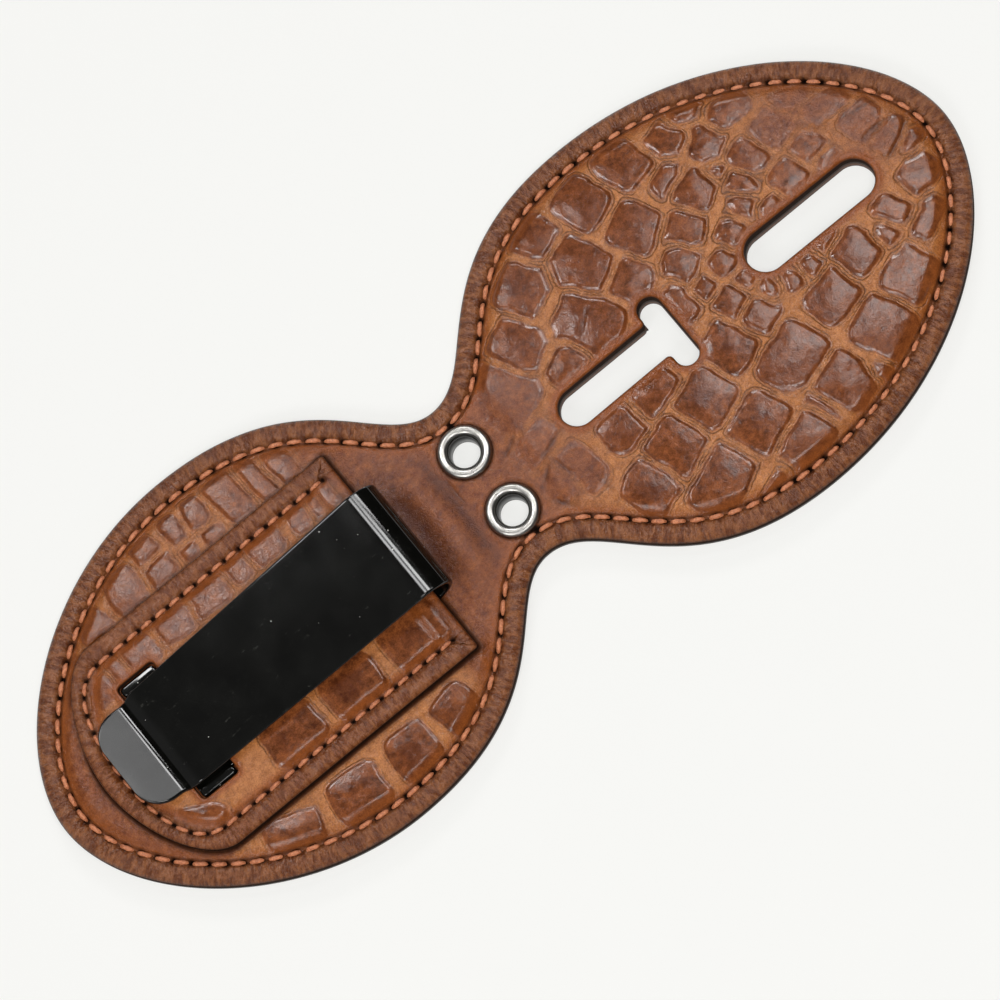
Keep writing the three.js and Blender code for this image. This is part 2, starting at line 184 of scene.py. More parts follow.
# Embossed scales of each surface: middle x, y, half length, half width and turn in degrees.
BADGE_SCALES = (
    (25.2, 22.2, 4.6, 4.2, 29), (18.3, 15.0, 4.1, 4.5, 29), (32.3, 27.9, 3.9, 3.2, 22),
    (35.5, 18.6, 4.3, 5.1, 26), (30.3, 9.9, 4.6, 5.9, 28), (42.4, 27.2, 4.0, 4.3, 20),
    (46.6, 17.6, 4.1, 4.1, 28), (40.4, 10.6, 3.4, 3.3, 28), (48.8, 7.8, 3.0, 2.9, 30),
    (22.8, 6.6, 3.7, 2.7, 24), (52.7, 11.6, 3.1, 3.2, 38), (51.9, 28.0, 3.6, 4.5, 14),
    (60.3, 26.3, 2.7, 3.2, 18), (65.9, 28.2, 2.9, 1.5, -25), (72.1, 23.7, 3.5, 2.4, 2),
    (64.9, 21.2, 3.0, 2.9, 26), (56.2, 20.8, 3.1, 1.7, 22), (58.6, 16.1, 3.1, 3.2, 26),
    (63.4, 16.4, 1.1, 1.2, 20), (69.3, 14.6, 2.6, 3.1, 20), (75.3, 16.1, 3.0, 3.0, 12),
    (81.2, 18.1, 2.8, 1.5, -18), (85.0, 13.4, 4.0, 2.0, -4), (65.5, 11.7, 2.6, 2.0, -42),
    (62.8, 8.6, 2.1, 2.2, 40), (58.6, 6.5, 2.5, 1.9, 16), (72.2, 7.4, 2.7, 2.7, 14),
    (78.2, 9.4, 2.7, 2.3, 12), (79.1, 5.8, 2.3, 1.0, 4), (66.3, 5.4, 1.9, 0.9, 8),
    (54.1, 2.8, 2.2, 2.1, 14), (88.3, 7.2, 3.3, 3.0, 14), (90.2, 2.2, 3.2, 2.2, 24),
    (92.3, -1.0, 2.4, 1.5, 30), (44.1, 2.2, 1.9, 3.4, 6), (49.1, 1.6, 1.9, 1.4, 12),
    (22.9, -8.3, 3.4, 3.4, 4), (31.2, -6.8, 4.1, 2.7, 10), (27.9, -16.4, 4.1, 4.4, 20),
    (37.3, -13.4, 4.4, 4.3, 18), (20.2, -19.0, 4.0, 4.4, 20), (30.2, -26.0, 6.1, 4.1, 21),
    (41.3, -22.5, 4.9, 4.2, 19), (45.5, -9.2, 3.5, 4.2, 20), (50.9, -2.8, 2.6, 2.2, 22),
    (45.5, -30.0, 4.9, 3.4, 16), (36.6, -32.2, 2.8, 1.0, 18), (53.8, -8.3, 2.9, 2.5, 22),
    (52.7, -17.5, 5.6, 4.5, 19), (64.5, -13.7, 4.2, 3.6, 10), (72.6, -10.2, 3.4, 3.5, 15),
    (61.3, -6.9, 1.7, 1.7, 8), (65.0, -6.8, 1.8, 1.6, 10), (69.8, -5.3, 2.1, 1.0, 14),
    (57.3, -5.7, 1.6, 1.5, 30), (55.4, -1.4, 1.5, 1.4, 20), (81.8, -8.6, 2.2, 3.1, 20),
    (78.7, -11.3, 1.7, 2.1, 22), (89.5, -6.4, 3.3, 2.7, 10), (77.0, -18.9, 4.3, 4.0, 22),
    (85.6, -13.4, 3.9, 1.9, 28), (67.7, -23.2, 4.6, 4.8, 22), (56.9, -26.6, 4.3, 4.6, 16),
    (51.5, -27.4, 1.1, 4.0, 22), (62.9, -29.2, 1.5, 2.3, 20), (10.9, 10.2, 5.0, 6.4, 26),
    (10.2, -0.2, 4.0, 2.4, 18), (8.6, -8.4, 2.3, 3.0, 14), (13.7, -8.9, 2.7, 4.4, 12),
)
CLIP_SCALES = (
    (-75.6, 23.4, 3.2, 2.0, 40), (-67.6, 23.6, 3.0, 3.6, 20), (-59.7, 25.2, 3.1, 4.2, -8),
    (-53.0, 28.9, 2.3, 1.9, 6), (-52.4, 24.1, 3.1, 2.1, 8), (-46.6, 28.2, 1.8, 2.8, -4),
    (-42.6, 28.0, 2.2, 2.9, -8), (-46.9, 23.6, 2.3, 1.4, 0), (-42.2, 23.7, 2.2, 1.5, 0),
    (-35.6, 26.7, 2.7, 4.6, 6), (-30.2, 26.0, 1.9, 4.8, 4), (-25.6, 25.0, 1.9, 3.8, 8),
    (-62.8, -26.2, 5.0, 3.4, -18), (-50.2, -28.0, 4.7, 4.3, -6), (-38.6, -28.2, 4.0, 4.3, -4),
    (-28.3, -27.4, 3.5, 4.0, 14),
)
PATCH_SCALES = (
    (-73.2, 13.6, 2.3, 2.0, 10), (-68.9, 14.5, 1.3, 2.3, 0), (-64.1, 14.3, 3.0, 2.6, -4),
    (-56.5, 14.5, 3.2, 2.5, -4), (-49.0, 14.7, 3.3, 2.5, -8), (-42.2, 15.2, 1.8, 2.4, 4),
    (-36.3, 15.1, 3.2, 2.4, 0), (-28.6, 15.2, 1.6, 2.2, -6), (-25.3, 15.2, 1.2, 2.1, 0),
    (-22.5, 15.2, 1.0, 2.1, 0), (-52.3, -13.2, 5.1, 3.9, 0), (-39.6, -13.4, 5.0, 4.0, 0),
    (-26.0, -13.2, 5.6, 4.0, 0), (-73.0, -14.4, 4.0, 1.8, -30),
)
SCALE_SQUARENESS = 4.6
SCALE_GROWTH = 0.38
VALLEY_HALF = 0.48
SCALE_LEAN = 0.03

# Places where the scales are worn soft: middle x, y and reach.
SOFT_SPOTS = ((80.5, 17.0, 8.0), (87.0, 4.0, 6.0), (8.0, 6.0, 9.0), (10.0, -8.0, 7.0))

# Creases pressed into the leather, most of them at the neck and at the badge leaf's tip: both ends
# of each.
CREASES = (
    ((4.6, 1.6), (8.2, 3.3)), ((9.4, -3.0), (15.2, -1.3)), ((5.6, -7.4), (10.0, -4.4)),
    ((6.2, -9.6), (8.6, -12.8)), ((-5.7, 4.8), (-5.4, -1.2)), ((10.6, -3.6), (11.8, -8.4)),
    ((86.0, -1.5), (90.4, 0.4)), ((90.6, 0.2), (94.0, 3.2)), ((86.4, 9.6), (91.4, 8.6)),
    ((85.2, 4.4), (92.2, 4.9)), ((28.2, 9.4), (31.6, 12.0)),
)

# ---- Small tools ----------------------------------------------------------------------------------


def ramp(value, start, end):
    """Smooth step from 0 at start to 1 at end."""
    t = np.clip((value - start) / (end - start), 0, 1)
    return t * t * (3 - 2 * t)


def bump(value, middle, width):
    """A smooth hump of height 1."""
    return np.exp(-(((value - middle) / width) ** 2))


def noise(x, y, size, seed):
    """Smooth noise from -1 to 1, with lumps about size across."""
    u = np.asarray(x) / size
    v = np.asarray(y) / size
    column = np.floor(u)
    row = np.floor(v)
    across = ramp(u - column, 0, 1)
    up = ramp(v - row, 0, 1)

    def corner(i, j):
        value = np.sin((column + i) * 127.1 + (row + j) * 311.7 + seed * 74.7) * 4375.85453
        return (value - np.floor(value)) * 2 - 1

    low = corner(0, 0) * (1 - across) + corner(1, 0) * across
    high = corner(0, 1) * (1 - across) + corner(1, 1) * across
    return low * (1 - up) + high * up


def bezier(a, b, c, d, count=160):
    """Points along a cubic Bezier curve, without its last point."""
    t = np.linspace(0, 1, count, endpoint=False)[:, None]
    a, b, c, d = (np.array(p, float) for p in (a, b, c, d))
    return a * (1 - t) ** 3 + 3 * b * t * (1 - t) ** 2 + 3 * c * t ** 2 * (1 - t) + d * t ** 3


def even(points, spacing, closed=True):
    """The same line with equally spaced points."""
    line = np.vstack([points, points[:1]]) if closed else np.array(points)
    along = np.concatenate([[0], np.cumsum(np.linalg.norm(np.diff(line, axis=0), axis=1))])
    count = max(int(round(along[-1] / spacing)), 3)
    places = np.linspace(0, along[-1], count + 1)
    if closed:
        places = places[:-1]
    return np.stack([np.interp(places, along, line[:, i]) for i in range(line.shape[1])], axis=1)


def rounded_polygon(corners, spacing):
    """A closed line through corners (x, y, radius), counter-clockwise, with each corner rounded."""
    points = []
    count = len(corners)
    for i, (x, y, radius) in enumerate(corners):
        here = np.array([x, y])
        before = np.array(corners[i - 1][:2]) - here
        after = np.array(corners[(i + 1) % count][:2]) - here
        before /= np.linalg.norm(before)
        after /= np.linalg.norm(after)
        half_angle = math.acos(np.clip(before @ after, -1, 1)) / 2
        reach = radius / math.tan(half_angle)
        middle = here + (before + after) / np.linalg.norm(before + after) * radius / math.sin(half_angle)
        start = here + before * reach - middle
        end = here + after * reach - middle
        for t in np.linspace(0, 1, 12):
            spoke = start * (1 - t) + end * t
            points.append(middle + spoke / np.linalg.norm(spoke) * radius)
    return even(np.array(points), spacing)


def rounded_rectangle(x0, x1, y0, y1, radius, spacing=EDGE_SPACING):
    return rounded_polygon([(x0, y0, radius), (x1, y0, radius), (x1, y1, radius), (x0, y1, radius)], spacing)


class Loop:
    """A closed counter-clockwise line round a piece, or round a hole in it."""

    def __init__(self, points, hole=False):
        self.points = points
        self.hole = hole
        ahead = np.roll(points, -1, axis=0) - np.roll(points, 1, axis=0)
        self.tangents = ahead / np.linalg.norm(ahead, axis=1)[:, None]
        left = np.stack([-self.tangents[:, 1], self.tangents[:, 0]], axis=1)
        self.normals = -left if hole else left
        steps = np.linalg.norm(np.roll(points, -1, axis=0) - points, axis=1)
        self.along = np.concatenate([[0], np.cumsum(steps)[:-1]])
        self.length = steps.sum()
        self.tree = KDTree(len(points))
        for i, (x, y) in enumerate(points):
            self.tree.insert((x, y, 0), i)
        self.tree.balance()

    def offset(self, distance):
        """The same line, moved into the piece."""
        return self.points + distance * self.normals

    def measure(self, points):
        """How far into the piece each point is, and how far along the line."""
        nearest = np.array([self.tree.find((x, y, 0))[1] for x, y in points])
        gap = points - self.points[nearest]
        normal = self.normals[nearest]
        inward = np.einsum("ij,ij->i", gap, normal)
        reach = np.linalg.norm(gap, axis=1)
        inward = np.where(reach > 3 * EDGE_SPACING, np.copysign(reach, inward), inward)
        along = self.along[nearest] + np.einsum("ij,ij->i", gap, self.tangents[nearest])
        return inward, along


# ---- Outlines -------------------------------------------------------------------------------------


def leaf_side(leaf, side):
    """One side of a leaf, from its tip to the middle of the waist."""
    out = math.copysign(1, leaf["tip"])
    y = side * leaf["half"]
    tip = (leaf["tip"], 0)
    widest = (leaf["widest"], y)
    waist = (0, side * WAIST)
    return np.vstack([
        bezier(tip, (leaf["tip"], side * leaf["tip_handle"]),
               (leaf["widest"] + out * leaf["side_handle"], y), widest),
        bezier(widest, (leaf["widest"] - out * leaf["shoulder_handle"], y),
               (out * leaf["waist_handle"], waist[1]), waist),
        [waist],
    ])


def holder_outline():
    return np.vstack([
        leaf_side(BADGE, 1)[:-1], leaf_side(CLIP, 1)[::-1][:-1],
        leaf_side(CLIP, -1)[:-1], leaf_side(BADGE, -1)[::-1][:-1],
    ])


def plain_slot():
    half = PLAIN_SLOT["width"] / 2
    return rounded_rectangle(PLAIN_SLOT["start"], PLAIN_SLOT["end"], -half, half, half * FULL_ROUND)


def t_slot():
    half = T_SLOT["width"] / 2
    head = T_SLOT["head_width"] / 2
    start, neck, end = T_SLOT["start"], T_SLOT["head_start"], T_SLOT["end"]
    stem_radius = half * FULL_ROUND
    head_radius = (end - neck) / 2 * HEAD_ROUND
    upper = [(end, head, head_radius), (neck, head, head_radius),
             (neck, half, T_CORNER), (start, half, stem_radius)]
    lower = [(x, -y, radius) for x, y, radius in upper[::-1]]
    return rounded_polygon(lower + upper, EDGE_SPACING)


def circle(x, y, radius):
    angles = np.linspace(0, 2 * math.pi, max(24, int(2 * math.pi * radius / EDGE_SPACING)), endpoint=False)
    return np.stack([x + radius * np.cos(angles), y + radius * np.sin(angles)], axis=1)


def patch_side(distance, start):
    """One side of the patch and half of its round end, from the mouth."""
    half = PATCH_HIGH[1] - distance
    end = PATCH_LOW[0] + distance
    round_end = bezier((PATCH_BEND, half), (PATCH_BEND - PATCH_SIDE_HANDLE, half), (end, PATCH_END_HANDLE),
                       (end, 0), 60)
    return np.vstack([[(start, half)], round_end, [(end, 0)]])


def patch_outline():
    """Counter-clockwise from the upper corner of the mouth, with small round corners at the mouth."""
    upper = patch_side(0, PATCH_HIGH[0] - PATCH_CORNER)
    lower = upper[::-1][1:] * (1, -1)
    turns = np.linspace(-math.pi / 2, 0, 6)
    arc = np.stack([np.cos(turns), np.sin(turns)], axis=1) * PATCH_CORNER
    low_corner = arc + (PATCH_HIGH[0] - PATCH_CORNER, PATCH_LOW[1] + PATCH_CORNER)
    high_corner = low_corner[::-1] * (1, -1)
    return np.vstack([upper, lower[:-1], low_corner, high_corner[:-1]])


def patch_run():
    """The stitch line of the patch, from one side of the mouth round to the other."""
    upper = patch_side(PATCH_STITCH_INSET, PATCH_STITCH_START)
    return even(np.vstack([upper, upper[::-1][1:] * (1, -1)]), EDGE_SPACING, closed=False)


def ear_window():
    half = EAR_WINDOW["half"]
    return rounded_rectangle(EAR_WINDOW["start"], EAR_WINDOW["end"], -half, half, EAR_WINDOW["corner"])


OUTLINE = Loop(even(holder_outline(), EDGE_SPACING))
SLOTS = [Loop(plain_slot(), hole=True), Loop(t_slot(), hole=True)]
EYELETS = [Loop(circle(0, side * EYELET_Y, EYELET_HOLE), hole=True) for side in (1, -1)]
PATCH = Loop(even(patch_outline(), EDGE_SPACING))
WINDOW = Loop(ear_window(), hole=True)
PATCH_RUN = patch_run()

# ---- Meshes ---------------------------------------------------------------------------------------


def make_mesh(name, vertices, faces, smooth_angle=math.radians(50)):
    """A mesh object from layout millimetres, smooth apart from its sharp edges."""
    mesh = bpy.data.meshes.new(name)
    mesh.from_pydata(place(vertices).tolist(), [], [tuple(face) for face in faces])
    mesh.validate()
    mesh.shade_smooth()
    mesh.set_sharp_from_angle(angle=smooth_angle)
    piece = bpy.data.objects.new(name, mesh)
    bpy.context.collection.objects.link(piece)
    return piece


def add_masks(piece, masks):
    """Per-vertex values that the materials read."""
    for name, values in masks.items():
        attribute = piece.data.attributes.new(name, "FLOAT", "POINT")
        attribute.data.foreach_set("value", np.asarray(values, np.float32))


def tube_faces(base, rings, sides):
    """Faces of a closed tube: rings of vertices, the first at base, with both ends filled."""
    faces = []
    for ring in range(base, base + (rings - 1) * sides, sides):
        for i in range(sides):
            a = ring + i
            b = ring + (i + 1) % sides
            faces.append((a, b, b + sides, a + sides))
    last = base + (rings - 1) * sides
    return faces + [tuple(range(base, base + sides))[::-1], tuple(range(last, last + sides))]


def hex_grid(low, high, spacing):
    rows = np.arange(low[1], high[1], spacing * math.sqrt(3) / 2)
    columns = np.arange(low[0], high[0], spacing)
    x, y = np.meshgrid(columns, rows)
    x[1::2] += spacing / 2
    return np.stack([x.ravel(), y.ravel()], axis=1)


def triangulate(loops, rings, spacing):
    """Triangles between the loops. The loops' own points come first, in order."""
    borders = np.vstack([loop.points for loop in loops])
    inner = [loop.offset(distance) for loop, distances in zip(loops, rings) for distance in distances]
    grid = hex_grid(borders.min(axis=0), borders.max(axis=0), spacing)
    for loop, distances in zip(loops, rings):
        clear = (distances[-1] if distances else 0) + 0.6 * spacing
        grid = grid[loop.measure(grid)[0] > clear]
    points = np.vstack([borders, *inner, grid])
    edges = []
    start = 0
    for loop in loops:
        count = len(loop.points)
        edges += [(start + i, start + (i + 1) % count) for i in range(count)]
        start += count
    found = delaunay_2d_cdt([Vector(p) for p in points], edges, [], 0, 1e-7)
    flat = np.array([tuple(v) for v in found[0]])
    triangles = np.array(found[2])
    middles = flat[triangles].mean(axis=1)
    inside = np.ones(len(triangles), bool)
    for loop in loops:
        inside &= loop.measure(middles)[0] > 0
    return flat, triangles[inside]


def slab(name, loops, rings, spacing, top, bottom, bottom_spacing):
    """A closed sheet between two height functions. top gives heights and masks, bottom only heights."""
    upper, upper_triangles = triangulate(loops, rings, spacing)
    lower, lower_triangles = triangulate(loops, [()] * len(loops), bottom_spacing)
    upper_z, masks = top(upper)
    vertices = np.vstack([
        np.column_stack([upper, upper_z]),
        np.column_stack([lower, bottom(lower)]),
    ])
    below = len(upper)
    faces = upper_triangles.tolist() + (lower_triangles[:, ::-1] + below).tolist()
    start = 0
    for loop in loops:
        count = len(loop.points)
        for i in range(count):
            a, b = start + i, start + (i + 1) % count
            wall = (a, below + a, below + b, b)
            faces.append(wall[::-1] if loop.hole else wall)
        start += count
    piece = make_mesh(name, vertices, faces)
    walls = np.zeros(len(lower))
    walls[:start] = 1
    for mask, values in masks.items():
        rest = walls if mask == "edge" else np.full(len(lower), values.mean())
        masks[mask] = np.concatenate([values, rest])
    add_masks(piece, masks)
    return piece


def edge_masks(loop, inset, along):
    """The distance from the edge, and the distance along it wound onto a circle so that it has no seam."""
    radius = loop.length / (2 * math.pi)
    turn = along / radius
    return {"inset": inset, "ring_x": radius * np.cos(turn), "ring_y": radius * np.sin(turn)}


# ---- Embossing ------------------------------------------------------------------------------------


def scale_depth(x, y, scales):
    """How far inside an embossed scale each point is, in millimetres, and that scale's own tint."""
    x, y = (
        x + 0.3 * noise(x, y, 3.1, 1) + 0.1 * noise(x, y, 1.1, 2),
        y + 0.3 * noise(x, y, 3.1, 3) + 0.1 * noise(x, y, 1.1, 4),
    )
    best = np.full(len(x), -9.0)
    second = np.full(len(x), -9.0)
    tint = np.zeros(len(x))
    lean = np.zeros(len(x))
    for number, (middle_x, middle_y, half_length, half_width, turn) in enumerate(scales):
        angle = math.radians(turn)
        along = (x - middle_x) * math.cos(angle) + (y - middle_y) * math.sin(angle)
        across = (y - middle_y) * math.cos(angle) - (x - middle_x) * math.sin(angle)
        half_length += SCALE_GROWTH
        half_width += SCALE_GROWTH
        size = (np.abs(along / half_length) ** SCALE_SQUARENESS
                + np.abs(across / half_width) ** SCALE_SQUARENESS) ** (1 / SCALE_SQUARENESS)
        depth = (1 - size) * min(half_length, half_width)
        ahead = depth > best
        second = np.where(ahead, best, np.maximum(second, depth))
        tint = np.where(ahead, math.sin(number * 12.9898) * 0.5 + 0.5, tint)
        tilt = along * math.sin(number * 5.3) + across * math.cos(number * 7.1)
        lean = np.where(ahead, tilt * SCALE_LEAN, lean)
        best = np.maximum(best, depth)
    return np.minimum(best, (best - second) / 2 - VALLEY_HALF), tint, lean


def emboss(x, y, scales):
    """Relief of the scales, and the depth, tint and crown that the leather's colours read."""
    depth, tint, lean = scale_depth(x, y, scales)
    plateau = ramp(depth, -0.15, 0.6)
    crown = ramp(depth, 0.4, 3.2)
    cord = bump(depth, -0.6, 0.3)
    wrinkle = noise(x + y, x - y, 1.3, 5) * 0.02
    relief = 0.42 * plateau + 0.16 * crown + 0.1 * cord + (wrinkle + lean) * plateau
    return relief, {"depth": np.clip(depth, -2, 2), "tint": tint, "crown": crown}


def crease_lines(x, y, lines, width):
    """1 on the given strokes, fading to 0 away from them."""
    strength = np.zeros(len(x))
    for start, end in lines:
        start, end = np.array(start), np.array(end)
        run = end - start
        t = ((x - start[0]) * run[0] + (y - start[1]) * run[1]) / (run @ run)
        t = np.clip(t, 0, 1)
        bend = 0.25 * noise(x, y, 1.7, 7)
        gap = np.hypot(x - start[0] - t * run[0], y - start[1] - t * run[1]) + bend
        strength = np.maximum(strength, bump(gap, 0, width) * (0.4 + 0.6 * np.sin(math.pi * t)))
    return strength


def roll(distance, radius):
    """How far a rounded edge falls below the face, at a distance in from the edge."""
    t = np.clip(1 - distance / radius, 0, 1)
    return radius * (1 - np.sqrt(1 - t * t))


def stitch_groove(inset, along, length, stitch_inset):
    """The pressed line of a stitch run, with its needle holes."""
    pitch = length / round(length / EDGE_STITCH["pitch"])
    from_hole = np.abs((along / pitch + 0.5) % 1 - 0.5) * pitch
    line = bump(inset, stitch_inset, 0.62)
    holes = bump(np.hypot(from_hole * 0.75, inset - stitch_inset), 0, 0.46)
    return line, holes


def swell(x, y):
    """How far the middle of each leaf stands above its rim."""
    on_badge = x > FOLD_X
    badge_middle, clip_middle = ((leaf["tip"] + leaf["swell_start"]) / 2 for leaf in (BADGE, CLIP))
    middle = np.where(on_badge, badge_middle, clip_middle)
    reach = np.abs(np.where(on_badge, BADGE["tip"], CLIP["tip"]) - middle)
    from_middle = np.hypot((x - middle) / reach, y / BADGE["half"])
    return np.where(on_badge, BADGE["swell"], CLIP["swell"]) * np.clip(1 - from_middle ** 2, 0, 1)


def neck_ridge(x, y):
    """The ridge that folding has left across the neck, with a trough on each side, and the painted shade in
    the troughs.
    """
    window = ramp(y, -17, -8) * ramp(y, 13, 5)
    wander = x + 0.35 * noise(y, x, 5, 13) + 0.004 * (y - 2) ** 2
    waves, painted_shades = ([strength * bump(wander, at, width) for at, strength, width in features]
                     for features in (NECK_WAVES, NECK_PAINTED_SHADES))
    return sum(waves) * window, np.maximum.reduce(painted_shades) * ramp(np.abs(y), 15, 6)


def both_embossings(x, y):
    """Relief and masks of the scales, with each leaf's own on its side of the fold."""
    badge_relief, badge_masks = emboss(x, y, BADGE_SCALES)
    clip_relief, clip_masks = emboss(x, y, CLIP_SCALES)
    on_badge = x > FOLD_X
    masks = {key: np.where(on_badge, badge_masks[key], clip_masks[key]) for key in badge_masks}
    return np.where(on_badge, badge_relief, clip_relief), masks


def scale_field(x, y, edge, slot, under_patch):
    """1 where scales are embossed, and how crisp they are there."""
    field = ramp(edge, *SCALES_FROM_EDGE) * ramp(slot, *SCALES_FROM_SLOT) * ~under_patch
    field *= np.maximum(ramp(x, 4.0, 9.0), ramp(x, -21.0, -25.0) * ramp(x, -80.0, -76.0))
    soft = np.ones(len(x))
    for spot_x, spot_y, reach in SOFT_SPOTS:
        soft *= 1 - 0.8 * bump(np.hypot(x - spot_x, y - spot_y), 0, reach)
    return field, soft


def outer_painted_shade(x, y, line, holes, edge, eyelet):
    """Painted shade on the outer leather in the stitch groove, needle holes and round the eyelets, and a
    painted shadow round the patch, darkest along its mouth and lower side.
    """
    inner_line = bump(edge, STITCH_INSET + 0.55, 0.22)
    deep_painted_shade = np.clip(0.3 * line + 0.45 * inner_line + 1.3 * holes + bump(eyelet, FLANGE_RADIUS, 0.35), 0, 1)
    outside = np.where(np.abs(y) < PATCH_HIGH[1] + 3, -PATCH.measure(np.column_stack([x, y]))[0], 9)
    shaded_side = 0.35 + 0.55 * np.maximum(ramp(y, 12, 4), ramp(x, -24, -21))
    return np.maximum(deep_painted_shade, shaded_side * bump(outside, 0.1, 0.65) * ramp(outside, -1.5, -0.6))


def outer_top(points):
    """Upper face of the outer leather."""
    x, y = points.T
    edge, along = OUTLINE.measure(points)
    slot = np.minimum(*(loop.measure(points)[0] for loop in SLOTS))
    eyelet = np.minimum(*(np.hypot(x, y - side * EYELET_Y) for side in (1, -1)))
    badge_board = ramp(x, BOARD_LOW[0] - 3, BOARD_LOW[0] + 1.5)
    clip_board = ramp(x, CLIP_BOARD_END + 3, CLIP_BOARD_END - 1.5)
    raised = np.maximum(badge_board, clip_board)
    height = BORDER_TOP + (LEAF_TOP - BORDER_TOP - 0.25) * ramp(edge, *BOARD_STEP) * raised
    height += swell(x, y) + 0.06 * noise(x, y, 7.0, 14) * raised

    border = 1 - ramp(edge, STITCH_INSET - 0.3, STITCH_INSET + 0.3)
    height += BORDER_BULGE * np.sin(math.pi * np.clip(edge / STITCH_INSET, 0, 1)) - roll(edge, EDGE_ROLL)
    ruck = noise(along + 0.3 * edge, edge * 0.3, 0.75, 8)
    ruck += 0.6 * noise(along - 0.4 * edge, edge * 0.25, 0.42, 9)
    height += BORDER_PUCKER * ruck * border * ramp(edge, 0.3, 1.2)
    line, holes = stitch_groove(edge, along, OUTLINE.length, STITCH_INSET)
    height -= GROOVE_DEPTH * line + NEEDLE_DEPTH * holes

    relief, masks = both_embossings(x, y)
    under_patch = np.abs(y) < PATCH_HIGH[1] + PATCH_CLEARANCE
    under_patch &= (x < PATCH_HIGH[0] + PATCH_CLEARANCE) & (x > PATCH_LOW[0] - PATCH_CLEARANCE)
    field, soft = scale_field(x, y, edge, slot, under_patch)
    height += (relief * soft - 0.12) * field
    lines = crease_lines(x, y, CREASES, CREASE_WIDTH)
    height += 0.1 * noise(x, y, 4.5, 10) * (1 - ramp(np.abs(x + 2), 10, 18)) - CREASE_DEPTH * lines
    # The troughs beside the neck ridge get painted shade, deepest beside the clip's bend.
    rise, soft_painted_shade = neck_ridge(x, y)
    height += rise

    seat = 1 - ramp(eyelet, FLANGE_RADIUS, FLANGE_RADIUS + SEAT_WIDTH)
    height = height * (1 - seat) + (BORDER_TOP - 0.05) * seat
    height += 0.12 * bump(eyelet, FLANGE_RADIUS + 0.9, 0.5)
    height -= roll(slot, 0.8) + 0.12 * bump(slot, 1.3, 0.8)
    height = np.where(under_patch, np.minimum(height, LEAF_TOP - 0.05), height)

    by_stitches = 0.9 * bump(edge, STITCH_INSET + 1.1, 0.75)
    by_eyelet = 0.5 * bump(eyelet, FLANGE_RADIUS, 1.0)
    masks.update({
        "field": field * soft * np.where(x > FOLD_X, 1, 0.7 + 0.3 * ramp(y, 8, -8)),
        "crease": lines * 0.8,
        "crown": masks["crown"] * field,
        "soft_painted_shade": soft_painted_shade,
        "neck": ramp(x, 5, -3) * ramp(x, -22, -17),
        "border": border,
        "burnish": np.maximum.reduce([by_stitches, bump(slot, 0.7, 0.9), by_eyelet]),
        # Near-black painted shade in holes and grooves, round the eyelets, and a painted shadow round the
        # patch.
        "deep_painted_shade": outer_painted_shade(x, y, line, holes, edge, eyelet),
        "edge": np.maximum(1 - ramp(edge, 0.02, 0.3), 1 - ramp(slot, 0.0, 0.22)),
        **edge_masks(OUTLINE, edge, along),
    })
    return height, masks


def outer_bottom(points):
    """Lower face of the outer leather, recessed over the boards."""
    x = points[:, 0]
    edge = OUTLINE.measure(points)[0]
    over_board = (x > BOARD_LOW[0] - 0.5) | (x < CLIP_BOARD_END + 0.5)
    thickness = BOARD_HIGH[2] - BOARD_LOW[2] + 0.05
    return OUTER_BOTTOM + thickness * ramp(edge, 4.9, 5.7) * over_board


def make_outer_leather():
    loops = [OUTLINE, *SLOTS, *EYELETS]
    rings = [EDGE_RINGS] + [HOLE_RINGS] * len(SLOTS) + [()] * len(EYELETS)
    piece = slab("outer_leather", loops, rings, FIELD_SPACING, outer_top, outer_bottom, UNDERSIDE_SPACING)
    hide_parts("outer_leather_badge", "outer_leather_clip")
    return piece


# ---- Lining ---------------------------------------------------------------------------------------


def lining_top(points):
    edge = OUTLINE.measure(points)[0]
    flat = np.zeros(len(points))
    height = flat + OUTER_BOTTOM - 0.02
    return height, {"edge": 1 - ramp(edge, 0.02, 0.3), "deep_painted_shade": flat}


def lining_bottom(points):
    edge, along = OUTLINE.measure(points)
    line, _ = stitch_groove(edge, along, OUTLINE.length, STITCH_INSET)
    return LINING_BOTTOM + 0.7 * roll(edge, 0.7) + 0.3 * line


def make_lining():
    loops = [OUTLINE, *SLOTS, *EYELETS]
    piece = slab("lining", loops, [()] * len(loops), UNDERSIDE_SPACING, lining_top, lining_bottom, 0.9)
    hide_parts("lining_badge", "lining_clip")
    return piece


# ---- Pocket patch ---------------------------------------------------------------------------------


def over_plate(points):
    """1 where the patch lies over the clip's base plate, 0 where it lies on the leaf."""
    x, y = points.T
    across = 1 - ramp(np.abs(y), PLATE_TOP_HALF - 0.4, PLATE_FOOT_HALF)
    return across * ramp(x, EARS["start"] - 2.0, EARS["start"] + 0.8)


def patch_stitching(x, y):
    """How far each point is from the patch's stitch line, and from its nearest needle hole."""
    count = round(len(PATCH_RUN) * EDGE_SPACING / PATCH_STITCH["pitch"])
    needles = PATCH_RUN[np.linspace(0, len(PATCH_RUN) - 1, count + 1).round().astype(int)]
    return (np.min(np.hypot(x[:, None] - spots[:, 0], y[:, None] - spots[:, 1]), axis=1)
            for spots in (PATCH_RUN[::2], needles))


